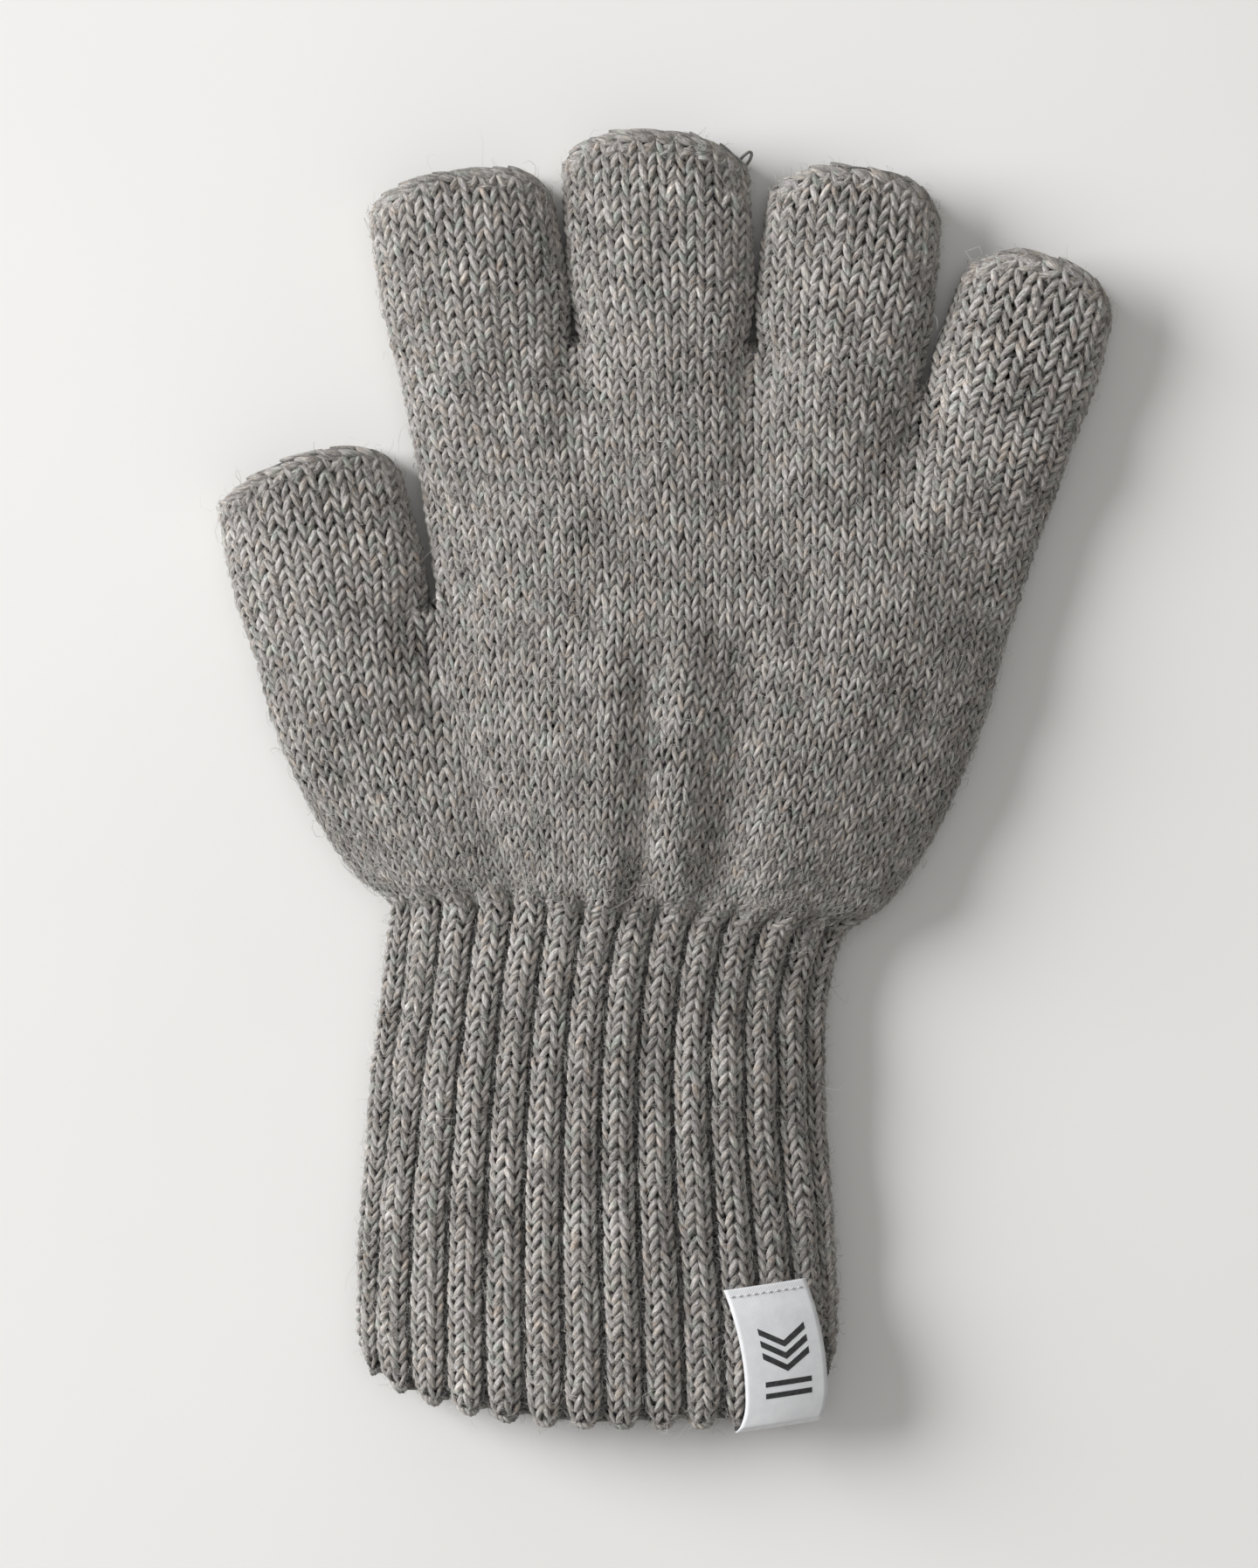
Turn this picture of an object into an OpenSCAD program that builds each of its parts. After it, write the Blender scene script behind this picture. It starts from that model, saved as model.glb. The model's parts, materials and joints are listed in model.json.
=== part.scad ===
// Knitted fingerless glove, lying flat with the fingers towards +Y and the thumb towards -X.
// The glove is a set of knitted tubes: a ribbed cuff, a five finger palm section, a four finger
// palm section, and one short open tube for each finger and for the thumb. Every tube ends in
// its own worked edge, and small closing stitches hold the crotches between the tubes.
// Each tube is a hollow loft. Across it u runs from -1 at the left edge to 1 at the right edge,
// and along it v runs from 0 at its lower end to 1 at its upper end.

/* [Fabric] */
// Thickness of the knitted fabric
wall = 2.2; // [1.8:0.1:2.5]
// Gap between a tube and the piece that it hinges on
joint_gap = 0.3; // [0.2:0.1:0.5]
// Gap between each finger tube and the crotch beside it
side_gap = 0.6; // [0.4:0.1:1]

/* [Thickness lying flat] */
// Height of the side edges, where the front and back layers meet
edge_z = 6; // [5.5:0.1:6.5]
// Full thickness of the cuff
cuff_h = 13; // [12.5:0.5:14]
// Full thickness of the palm
palm_h = 16; // [14:0.5:17]
// Full thickness of the thumb and finger tubes
finger_h = 12.5; // [12:0.5:13.5]

/* [Cuff] */
// Ribs across one face of the cuff
rib_count = 13; // [9:2:15]
// Height of a rib's crest over the mean surface
rib_relief = 0.4; // [0:0.1:0.5]
// Depth of the starting edge at the cuff's mouth
hem_l = 3; // [2:0.5:4]
// How far the mouth's lower layer lifts off the surface
mouth_lift = 0.9; // [0.8:0.1:1.2]

/* [Finger edges] */
// Depth of the bound-off chain around each opening
chain_l = 4; // [3:0.5:5]
// How far the chain stands proud of the tube
chain_proud = 0.5; // [0.2:0.1:0.6]

/* [Label] */
// Width of the ribbon
label_w = 14.2; // [12:0.2:14.4]
// Length of the front flap, from the fold to its sewn end
label_front_l = 25.6; // [24:0.2:27]
// Length of the back flap
label_back_l = 17; // [14:0.5:18]
// Thickness of the ribbon
label_t = 0.4; // [0.3:0.1:0.5]
// Sewing stitches across the ribbon
label_stitches = 9; // [6:1:12]

/* [Hidden] */

knit_grey = [0.48, 0.465, 0.445];
edge_grey = [0.43, 0.415, 0.4];
stitch_grey = [0.38, 0.365, 0.35];
ribbon_white = [0.93, 0.93, 0.92];
print_black = [0.06, 0.06, 0.06];

// Plan corners, in the glove's own frame
hem_left = [-53.5, -100];
hem_right = [30.4, -99];
wrist_left = [-48.2, -21];
wrist_right = [32.4, -25.5];
thumb_outer = [-70.8, 20.6];
thumb_crotch = [-39.8, 29.6];
palm_right = [57.6, 16];
index_outer = [-46.8, 73];
index_crotch = [-15.2, 75.5];
middle_crotch = [15.4, 74.5];
ring_crotch = [44.6, 67.5];
little_outer = [71, 58];

// Left and right corners of each opening, and the rise of its rim between them
thumb_rim = [[-77.9, 48], [-46.4, 56.6]];
index_rim = [[-51.7, 99.6], [-19.8, 101.4]];
middle_rim = [[-17.3, 107.4], [14.9, 106.6]];
ring_rim = [[17.6, 103.4], [48.3, 99]];
little_rim = [[53, 90.4], [77.9, 82]];
thumb_arc = 4.5;
index_arc = 6;
middle_arc = 5.4;
ring_arc = 5.2;
little_arc = 4.6;
hem_arc = 12.6;

// Wales that each finger gives to the palm, which set how the palm is shared out
thumb_wales = 11;
finger_wales = [11, 11, 10, 9];
palm_wales = finger_wales[0] + finger_wales[1] + finger_wales[2] + finger_wales[3];
all_wales = thumb_wales + palm_wales;
thumb_share = thumb_wales / all_wales * 2 - 1;
index_share = finger_wales[0] / palm_wales * 2 - 1;
middle_share = (finger_wales[0] + finger_wales[1]) / palm_wales * 2 - 1;
ring_share = 1 - finger_wales[3] / palm_wales * 2;

// Side edges of the three big sections, as cubic curves
cuff_left_edge = [hem_left, [-55, -75], [-51, -48], wrist_left];
cuff_right_edge = [hem_right, [32, -78], [24.5, -44], wrist_right];
lower_left_edge = [wrist_left, [-57.5, -15], [-68, 5], thumb_outer];
lower_right_edge = [wrist_right, [45, -20], [53.5, 3], palm_right];
upper_left_edge = [thumb_crotch, [-41, 44], [-44, 60], index_outer];
upper_right_edge = [palm_right, [61, 31], [67, 45], little_outer];

// The back layer lies flat over this power of u, the front layer crowns with the lower one
flat_power = 6;
crown_power = 2.4;
// Least crown in the dips between two finger roots
dip_crown = 0.45;
crown_start = 0.35;

cuff_top = cuff_h - edge_z;
palm_top = palm_h - edge_z;
finger_top = finger_h - edge_z;

function mix(a, b, t) = a + (b - a) * t;
function ease(t) = let (c = min(1, max(0, t))) c * c * (3 - 2 * c);
function cubic(p, t) =
    pow(1 - t, 3) * p[0] + 3 * pow(1 - t, 2) * t * p[1]
    + 3 * (1 - t) * t * t * p[2] + pow(t, 3) * p[3];
function chord_normal(a, b) = let (d = (b - a) / norm(b - a)) [-d[1], d[0]];

// A point on a line of stops, each [u, point]
function on_stops(stops, u) =
    let (k = max([for (i = [0:len(stops) - 2]) if (i == 0 || u >= stops[i][0]) i]))
    mix(stops[k][1], stops[k + 1][1], (u - stops[k][0]) / (stops[k + 1][0] - stops[k][0]));

// Place in plan on a section with two given ends and two curved sides
function section_plan(low, high, left, right, u, v) =
    let (s = (u + 1) / 2)
    mix(low, high, v)
    + mix(cubic(left, v) - mix(left[0], left[3], v),
          cubic(right, v) - mix(right[0], right[3], v), s);

// Place in plan on a finger tube with an arched rim
function finger_plan(root, rim, arc, u, v) =
    let (s = (u + 1) / 2)
    mix(mix(root[0], root[1], s), mix(rim[0], rim[1], s), v)
    + chord_normal(rim[0], rim[1]) * arc * (1 - u * u) * v * v;

function crown(u) = sqrt(max(0, 1 - pow(abs(u), crown_power)));
function flat(u) = min(1, 1.04 * sqrt(max(0, 1 - pow(abs(u), flat_power))));

// Crown over several lobes side by side, given the u where each one starts and ends
function lobed(breaks, u) =
    let (k = max([for (i = [0:len(breaks) - 2]) if (i == 0 || u >= breaks[i]) i]))
    let (local = 2 * (u - breaks[k]) / (breaks[k + 1] - breaks[k]) - 1)
    abs(u) > 0.999 ? 0 : max(crown(local), min(dip_crown, crown(u)));

// Places across a section: closer together towards the edges of each lobe
function across(breaks, steps) = concat(
    [for (k = [0:len(breaks) - 2], i = [0:steps - 1])
        mix(breaks[k], breaks[k + 1], (1 - cos(180 * i / steps)) / 2)],
    [breaks[len(breaks) - 1]]);

function evenly(steps) = [for (i = [0:steps]) i / steps];

// One ring of a tube: over the front layer from left to right, then back under it
function ring(us, place, top, bottom) = concat(
    [for (u = us) let (p = place(u)) [p[0], p[1], edge_z + top(u)]],
    [for (i = [len(us) - 2:-1:1]) let (p = place(us[i])) [p[0], p[1], edge_z - bottom(us[i])]]);

// A hollow tube through matching outer and inner rings. Its first cap's quads are split along
// one diagonal or the other, to match the tube that it meets.
module hollow(outer, inner, other_split = false) {
    n = len(outer[0]);
    m = len(outer);
    shift = n * m;
    points = concat([for (r = outer, p = r) p], [for (r = inner, p = r) p]);
    sides = [for (j = [0:m - 2], i = [0:n - 1])
        let (a = j * n + i, b = j * n + (i + 1) % n) [a, b, b + n, a + n]];
    outside = [for (q = sides, t = [[q[0], q[3], q[2]], [q[0], q[2], q[1]]]) t];
    inside = [for (t = outside) [t[0] + shift, t[2] + shift, t[1] + shift]];
    caps = [for (e = [0, m - 1], i = [0:n - 1])
        let (a = e * n + i, b = e * n + (i + 1) % n, c = b + shift, d = a + shift)
        for (t = other_split && e == 0 ? [[a, b, d], [b, c, d]] : [[a, b, c], [a, c, d]])
            e == 0 ? t : [t[0], t[2], t[1]]];
    polyhedron(points, concat(outside, inside, caps), convexity = 10);
}

// A fabric tube. plan(u, v) gives its place, top(u, v) and bottom(u, v) its two half heights.
module fabric_tube(plan, top, bottom, us, vs, width) {
    inset = 1 - 2 * wall / width;
    outer = [for (v = vs)
        ring(us, function(u) plan(u, v), function(u) top(u, v), function(u) bottom(u, v))];
    inner = [for (v = vs)
        ring(us, function(u) plan(u * inset, v),
             function(u) max(0.1, top(u * inset, v) - wall) * (abs(u) > 0.999 ? 0 : 1),
             function(u) max(0.1, bottom(u * inset, v) - wall))];
    hollow(outer, inner);
}

// A worked edge that carries a tube's last ring on by its depth and bulges halfway
module rim_band(plan, top, bottom, us, width, along, depth, proud, reversed = false) {
    steps = [0, 0.3, 0.7, 1];
    function bulge(t) = proud * sin(180 * t);
    function place(u, t, grow) =
        let (p = plan(u * (1 + 2 * grow / width), 1)) p + along * depth * t;
    outer = [for (t = steps)
        ring(us, function(u) place(u, t, bulge(t)), function(u) top(u, 1) * (1 + bulge(t) / edge_z),
             function(u) bottom(u, 1))];
    inset = 1 - 2 * wall / width;
    inner = [for (t = steps)
        ring(us, function(u) place(u * inset, t, 0),
             function(u) max(0.1, top(u * inset, 1) - wall) * (abs(u) > 0.999 ? 0 : 1),
             function(u) max(0.1, bottom(u * inset, 1) - wall))];
    hollow(outer, inner, reversed);
}

// Cuff
rib_us = concat([-1, -0.975], [for (i = [1:2 * rib_count - 1]) i / rib_count - 1], [0.975, 1]);
function rib_wave(u) = -cos(180 * rib_count * (u + 1)) * rib_relief;
function hem_drop(u) = sqrt(max(0, 1 - pow(abs(u), 3)));
function cuff_low(u) =
    mix(hem_left, hem_right, (u + 1) / 2) + [0, hem_l - hem_arc * hem_drop(u)];
function cuff_high(u) =
    mix(wrist_left, wrist_right, (u + 1) / 2) - [0, joint_gap];
function cuff_plan(u, v) =
    section_plan(cuff_low(u), cuff_high(u), cuff_left_edge, cuff_right_edge, u, v);
function cuff_front(u, v) =
    abs(u) > 0.97 ? cuff_top * crown(u) : cuff_top * crown(u) + rib_wave(u);
function cuff_back(u, v) = edge_z * flat(u) - mouth_lift * min(1, flat(u)) * ease(1 - 2.6 * v);
cuff_w = 82;

module cuff_ribbing() {
    color(knit_grey)
        fabric_tube(function(u, v) cuff_plan(u, v), function(u, v) cuff_front(u, v),
                    function(u, v) cuff_back(u, v), rib_us, evenly(5), cuff_w);
}

module cuff_starting_edge() {
    color(edge_grey)
        rim_band(function(u, v) cuff_plan(u, 0), function(u, v) cuff_front(u, 0),
                 function(u, v) cuff_back(u, 0), [for (i = [len(rib_us) - 1:-1:0]) rib_us[i]],
                 cuff_w, [0, -1], hem_l, 0.3, true);
}

// Palm sections
lower_breaks = [-1, thumb_share, 1];
lower_stops = [[-1, thumb_outer], [thumb_share, thumb_crotch], [1, palm_right]];
function lower_plan(u, v) =
    section_plan(mix(wrist_left, wrist_right, (u + 1) / 2), on_stops(lower_stops, u),
                 lower_left_edge, lower_right_edge, u, v);
// The front layer's half height falls from the palm's to a finger's towards the thumb
function lower_half(u, v) =
    mix(mix(cuff_top, palm_top, ease(2.2 * v)),
        u < thumb_share ? finger_top : palm_top, ease(v));
function lower_front(u, v) =
    lower_half(u, v) * mix(crown(u), lobed(lower_breaks, u), ease((v - crown_start) / 0.65));
function section_back(u, v) = edge_z * flat(u);

module five_finger_palm() {
    color(knit_grey)
        fabric_tube(function(u, v) lower_plan(u, v), function(u, v) lower_front(u, v),
                    function(u, v) section_back(u, v), across(lower_breaks, 14), evenly(6), 110);
}

upper_breaks = [-1, index_share, middle_share, ring_share, 1];
upper_stops = [
    [-1, index_outer], [index_share, index_crotch], [middle_share, middle_crotch],
    [ring_share, ring_crotch], [1, little_outer]
];
function upper_plan(u, v) =
    section_plan(mix(thumb_crotch, palm_right, (u + 1) / 2), on_stops(upper_stops, u),
                 upper_left_edge, upper_right_edge, u, v);
function upper_front(u, v) =
    mix(palm_top, finger_top, ease(v))
    * mix(crown(u), lobed(upper_breaks, u), ease((v - crown_start) / 0.65));

module four_finger_palm() {
    color(knit_grey)
        fabric_tube(function(u, v) upper_plan(u, v), function(u, v) upper_front(u, v),
                    function(u, v) section_back(u, v), across(upper_breaks, 10), evenly(6), 108);
}

// Thumb and fingers
function axis_of(root, rim) =
    let (d = (rim[0] + rim[1] - root[0] - root[1]) / 2) d / norm(d);
// Root line of a tube, clear of the palm and of the crotches beside it
function root_line(a, b, free_left, free_right) =
    let (d = (b - a) / norm(b - a), up = chord_normal(a, b) * joint_gap)
    [a + d * (free_left ? 0.2 : side_gap) + up, b - d * (free_right ? 0.2 : side_gap) + up];
thumb_root = root_line(thumb_outer, thumb_crotch, true, false);
index_root = root_line(index_outer, index_crotch, true, false);
middle_root = root_line(index_crotch, middle_crotch, false, false);
ring_root = root_line(middle_crotch, ring_crotch, false, false);
little_root = root_line(ring_crotch, little_outer, false, true);

// Corners of a tube's own end, one chain's depth short of its rim
function tube_end(root, rim) = let (back = axis_of(root, rim) * chain_l) [rim[0] - back, rim[1] - back];

module finger_tube(root, rim, arc) {
    end = tube_end(root, rim);
    fabric_tube(function(u, v) finger_plan(root, end, arc, u, v),
                function(u, v) finger_top * crown(u), function(u, v) edge_z * flat(u),
                across([-1, 1], 14), evenly(4), norm(rim[1] - rim[0]));
}

module finger_chain(root, rim, arc) {
    end = tube_end(root, rim);
    rim_band(function(u, v) finger_plan(root, end, arc, u, v),
             function(u, v) finger_top * crown(u), function(u, v) edge_z * flat(u),
             across([-1, 1], 14), norm(rim[1] - rim[0]), axis_of(root, rim), chain_l, chain_proud);
}

module thumb_tube() { color(knit_grey) finger_tube(thumb_root, thumb_rim, thumb_arc); }
module index_tube() { color(knit_grey) finger_tube(index_root, index_rim, index_arc); }
module middle_tube() { color(knit_grey) finger_tube(middle_root, middle_rim, middle_arc); }
module ring_tube() { color(knit_grey) finger_tube(ring_root, ring_rim, ring_arc); }
module little_tube() { color(knit_grey) finger_tube(little_root, little_rim, little_arc); }
module thumb_chain_edge() { color(edge_grey) finger_chain(thumb_root, thumb_rim, thumb_arc); }
module index_chain_edge() { color(edge_grey) finger_chain(index_root, index_rim, index_arc); }
module middle_chain_edge() { color(edge_grey) finger_chain(middle_root, middle_rim, middle_arc); }
module ring_chain_edge() { color(edge_grey) finger_chain(ring_root, ring_rim, ring_arc); }
module little_chain_edge() { color(edge_grey) finger_chain(little_root, little_rim, little_arc); }

// Closing stitches: two yarn strands side by side, lying on the dip at a crotch
strand_r = 0.5;
stitch_clear = 0.35;
module crotch_stitch(from, to) {
    run = to - from;
    turn = [0, acos(run[2] / norm(run)), atan2(run[1], run[0])];
    color(stitch_grey)
        translate(from) rotate(turn)
            for (side = [-1, 1]) translate([0, side * strand_r * 0.9, 0])
                cylinder(h = norm(run), r = strand_r, $fn = 16);
}
function on_palm(plan, front, u, v) =
    let (p = plan(u, v)) [p[0], p[1], edge_z + front(u, v) + strand_r + stitch_clear];

module lower_stitch(u) {
    crotch_stitch(on_palm(function(a, b) lower_plan(a, b), function(a, b) lower_front(a, b), u, 0.93),
                  on_palm(function(a, b) lower_plan(a, b), function(a, b) lower_front(a, b), u, 0.99));
}
module upper_stitch(u) {
    crotch_stitch(on_palm(function(a, b) upper_plan(a, b), function(a, b) upper_front(a, b), u, 0.93),
                  on_palm(function(a, b) upper_plan(a, b), function(a, b) upper_front(a, b), u, 0.99));
}
module thumb_crotch_stitch() { lower_stitch(thumb_share); }
module index_crotch_stitch() { upper_stitch(index_share); }
module middle_crotch_stitch() { upper_stitch(middle_share); }
module ring_crotch_stitch() { upper_stitch(ring_share); }

// Ribbon label, folded over the cuff's mouth. Its own frame starts at the fold's left end.
label_at = [12, -112.4, 0];
label_turn = 7.5;
label_left_z = 13.9;
label_right_z = 12.7;
label_floor_z = 0.1;
label_tilt = atan2(label_left_z - label_right_z, label_w);
fold_r = 1.9;
function label_profile(z_top, grow) =
    let (high = z_top - grow, low = label_floor_z + grow, mid = (high + low) / 2)
    concat([[label_front_l, high]],
           [for (i = [0:10]) let (a = 90 + 18 * i)
               [fold_r + (fold_r - grow) * cos(a), mid + (high - mid) * sin(a)]],
           [[label_back_l, low]]);

module in_label_frame() { translate(label_at) rotate([0, 0, label_turn]) children(); }

module ribbon_label() {
    function side(x, z) = concat([for (p = label_profile(z, 0)) [x, p[0], p[1]]],
        [for (p = [for (q = label_profile(z, label_t)) q]) [x, p[0], p[1]]]);
    left = side(0, label_left_z);
    right = side(label_w, label_right_z);
    n = len(left) / 2;
    loop = concat([for (i = [0:n - 1]) i], [for (i = [2 * n - 1:-1:n]) i]);
    m = len(loop);
    walls = [for (i = [0:m - 1])
        let (a = loop[i], b = loop[(i + 1) % m], c = b + 2 * n, d = a + 2 * n)
        for (t = [[a, c, b], [a, d, c]]) t];
    ends = [for (i = [0:n - 2]) let (a = i, b = i + 1, c = n + i + 1, d = n + i)
        for (t = [[a, b, c], [a, c, d], [a + 2 * n, c + 2 * n, b + 2 * n],
                  [a + 2 * n, d + 2 * n, c + 2 * n]]) t];
    color(ribbon_white) in_label_frame()
        polyhedron(concat(left, right), concat(walls, ends), convexity = 6);
}

// On the front flap: x along the ribbon's width, z out of its face
module on_flap(y) {
    in_label_frame() translate([0, y, label_left_z]) rotate([0, label_tilt, 0]) children();
}

seam_from_end = 1.4;
thread_r = 0.16;
module label_seam_thread() {
    pitch = label_w / (label_stitches + 0.5);
    color(ribbon_white) on_flap(label_front_l - seam_from_end)
        for (i = [0:label_stitches - 1])
            translate([(i + 0.55) * pitch, 0, thread_r + 0.03]) rotate([0, 90, 0])
                cylinder(h = pitch * 0.62, r = thread_r, $fn = 16);
}

// Plain printed mark: three nested chevrons over two bars
mark_t = 0.12;
mark_w = 8;
module chevron(y) {
    arm = mark_w / 2;
    polygon([[-arm, y + 2], [0, y], [arm, y + 2], [arm, y + 0.7], [0, y - 1.3], [-arm, y + 0.7]]);
}
module label_print() {
    color(print_black) on_flap(13.4) translate([label_w / 2, 0, 0.03]) linear_extrude(mark_t) {
        for (i = [0:2]) chevron(i * 2.1 - 0.6);
        for (i = [0, 1]) translate([-mark_w / 2, -4.2 - 1.9 * i]) square([mark_w, 1.1]);
    }
}

cuff_ribbing();
cuff_starting_edge();
five_finger_palm();
four_finger_palm();
thumb_tube();
index_tube();
middle_tube();
ring_tube();
little_tube();
thumb_chain_edge();
index_chain_edge();
middle_chain_edge();
ring_chain_edge();
little_chain_edge();
thumb_crotch_stitch();
index_crotch_stitch();
middle_crotch_stitch();
ring_crotch_stitch();
ribbon_label();
label_seam_thread();
label_print();
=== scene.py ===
import json
import math

import bpy
import numpy as np
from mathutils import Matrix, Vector


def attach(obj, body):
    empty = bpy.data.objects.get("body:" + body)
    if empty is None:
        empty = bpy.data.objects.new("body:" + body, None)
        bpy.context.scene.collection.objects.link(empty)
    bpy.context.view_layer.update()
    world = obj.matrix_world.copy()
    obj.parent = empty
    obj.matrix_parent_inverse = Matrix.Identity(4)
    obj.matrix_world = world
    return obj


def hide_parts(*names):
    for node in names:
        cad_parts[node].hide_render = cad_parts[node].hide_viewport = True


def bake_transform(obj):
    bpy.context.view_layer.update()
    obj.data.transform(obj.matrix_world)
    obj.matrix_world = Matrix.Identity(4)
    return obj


# A knitted fingerless glove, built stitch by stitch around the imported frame. Lengths are in
# millimetres in this script, and become metres where a mesh, light or camera is made.
MM = 0.001
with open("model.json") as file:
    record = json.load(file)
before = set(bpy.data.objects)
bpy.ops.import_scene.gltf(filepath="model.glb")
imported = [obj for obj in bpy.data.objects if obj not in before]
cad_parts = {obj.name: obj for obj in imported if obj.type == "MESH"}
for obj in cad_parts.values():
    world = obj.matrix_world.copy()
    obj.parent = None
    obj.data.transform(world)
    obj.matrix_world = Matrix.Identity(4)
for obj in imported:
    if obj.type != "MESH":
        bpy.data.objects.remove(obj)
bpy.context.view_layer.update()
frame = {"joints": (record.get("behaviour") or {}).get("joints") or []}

# ---- Camera, straight above the glove ----
# Width, shape and middle of what it sees at the height VIEW_Z
VIEW_WIDTH = 216.9
VIEW_ASPECT = 1795 / 1440
VIEW_CENTRE = (-6.0, -0.2)
VIEW_Z = 8.0
CAMERA_RISE = 900.0
SENSOR = 36.0


def make_camera():
    data = bpy.data.cameras.new("camera")
    data.sensor_width = SENSOR
    data.lens = SENSOR * CAMERA_RISE / (VIEW_WIDTH * VIEW_ASPECT)
    data.clip_end = 10
    camera = bpy.data.objects.new("camera", data)
    camera.location = (VIEW_CENTRE[0] * MM, VIEW_CENTRE[1] * MM, (VIEW_Z + CAMERA_RISE) * MM)
    bpy.context.scene.collection.objects.link(camera)
    bpy.context.scene.camera = camera


make_camera()

# ---- Shape of the knitted sections ----
# Height of the side edges, and how far the front of each section rises over them
EDGE_Z = 6.0
CUFF_TOP = 10.2
PALM_TOP = 12.4
FINGER_TOP = 7.0
# The cuff's open end: lift of its back face, depth of its edge, and its arch in plan
MOUTH_LIFT = 0.9
HEM_L = 3.0
HEM_ARC = 12.4
HEM_LEAN = 0.3
CHAIN_L = 4.0
# How full the domed and the flat faces are
CROWN_POWER = 2.05
FLAT_POWER = 6
FLAT_FILL = 1.04
# Height of the dips between two fingers, and where along a section the domes start to part
DIP_CROWN = 0.45
CROWN_START = 0.35

# Corners and curved sides in plan, as in the CAD part
HEM_LEFT, HEM_RIGHT = (-53.5, -100), (30.4, -99)
WRIST_LEFT, WRIST_RIGHT = (-48.2, -21), (32.4, -25.5)
THUMB_OUTER, THUMB_CROTCH, PALM_RIGHT = (-70.8, 20.6), (-39.8, 29.6), (57.6, 16)
INDEX_OUTER, INDEX_CROTCH = (-46.8, 73), (-15.2, 75.5)
MIDDLE_CROTCH, RING_CROTCH, LITTLE_OUTER = (15.4, 74.5), (44.6, 67.5), (71, 58)

CUFF_SIDES = ([HEM_LEFT, (-55, -75), (-51, -48), WRIST_LEFT],
              [HEM_RIGHT, (32, -78), (24.5, -44), WRIST_RIGHT])
LOWER_SIDES = ([WRIST_LEFT, (-57.5, -15), (-68, 5), THUMB_OUTER],
               [WRIST_RIGHT, (45, -20), (53.5, 3), PALM_RIGHT])
UPPER_SIDES = ([THUMB_CROTCH, (-41, 44), (-44, 60), INDEX_OUTER],
               [PALM_RIGHT, (61, 31), (67, 45), LITTLE_OUTER])

# Where each finger's share of the palm ends, from -1 at the left to 1 at the right
THUMB_SHARE = 11 / 52 * 2 - 1
INDEX_SHARE = 11 / 41 * 2 - 1
MIDDLE_SHARE = 22 / 41 * 2 - 1
RING_SHARE = 1 - 9 / 41 * 2

# Each finger: its two root corners, its two rim corners, the rise of the rim's arch and how far
# that leans, its wales on one face, and which of its sides stand free of a neighbour
FINGERS = {
    "thumb": (THUMB_OUTER, THUMB_CROTCH, (-77.9, 48), (-45.3, 55.3), (5.0, 0.25), 12,
              (True, False)),
    "index": (INDEX_OUTER, INDEX_CROTCH, (-51.7, 99.3), (-19.0, 102.5), (4.8, 0.15), 12,
              (True, False)),
    "middle": (INDEX_CROTCH, MIDDLE_CROTCH, (-18.0, 107.6), (15.0, 107), (4.8, -0.08), 12,
               (False, False)),
    "ring": (MIDDLE_CROTCH, RING_CROTCH, (17.8, 103.2), (48.6, 98), (5.6, 0.1), 11,
             (False, False)),
    "little": (RING_CROTCH, LITTLE_OUTER, (52, 90), (78.4, 80.6), (5.7, 0.1), 9, (False, True)),
}
RIM_POWER = 3
# How far a finger's sides bulge, and how far they fill the slot beside a neighbour's root
SIDE_BULGE = 0.6
CROTCH_FILL = 0.55
# Wales on one face, a wale being one upright column of stitches and a course one row
PALM_WALES = 44
ALL_WALES = 56
RIB_WALES = 4
# Where the wales of one rib would lie evenly, and where its crest and gutters take them
RIB_AT = (0, 1, 1.5, 2, 2.5, 3, 4)
RIB_GOES_TO = (0, 0.45, 1.08, 2, 2.92, 3.55, 4)
RIB_DEPTH = 2.8
GUTTER_POWER = 1.5
RIB_FADE = 4
COURSE = 2.05

# ---- Yarn ----
# A loop's yarn takes a share of the width of its wale, between these two radii
YARN_R = 0.62
YARN_MIN = 0.34
YARN_SHARE = 0.213
PURL_SINK = 0.35
# Height over the fabric that gives a strand its plain colour, with no painted shade of a gap
CREST = 0.4
YARN_SIDES = 6
# Each loop leans out from its foot, reaches over its neighbours and weaves through by its depth
LOOP_STEPS = 12
LOOP_LEAN = 0.29
LOOP_REACH = 0.98
LOOP_DEPTH = 0.58
FABRIC_INSET = 1.15
TWIST = 0.7
FLATTEN = 0.92
HAIR_R = 0.03
HAIR_STEPS = 5
HAIR_ROOT = 0.75
FRONT_FIBRES = 11.0
BACK_FIBRES = 1.5
draw = np.random.default_rng(7)


def mix(a, b, t):
    """The value a share t of the way from a to b."""
    return a + (b - a) * t


def ease(t):
    """Runs smoothly from 0 to 1 while t does, and stays at 0 or 1 outside that."""
    c = np.clip(t, 0, 1)
    return c * c * (3 - 2 * c)


def unit(v):
    return v / np.maximum(np.linalg.norm(v, axis=-1, keepdims=True), 1e-12)


def cubic(p, t):
    """Places at t on the cubic curve with the four control points p."""
    t = t[..., None]
    a, b, c, d = (np.array(q, float) for q in p)
    return (1 - t) ** 3 * a + 3 * (1 - t) ** 2 * t * b + 3 * (1 - t) * t * t * c + t ** 3 * d


def line(a, b, t):
    return mix(np.array(a, float), np.array(b, float), t[..., None])


def stops(points, u):
    """Places at u on a line through points, each (u, place)."""
    us = [p[0] for p in points]
    return np.stack([np.interp(u, us, [p[1][i] for p in points]) for i in (0, 1)], -1)


def crown(u):
    """Half height of a softly domed face across the tube."""
    return np.sqrt(np.maximum(0, 1 - np.abs(u) ** CROWN_POWER))


def flat(u):
    """Half height of a face that lies flat and only rounds off at its edges."""
    return np.minimum(1, FLAT_FILL * np.sqrt(np.maximum(0, 1 - np.abs(u) ** FLAT_POWER)))


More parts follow.
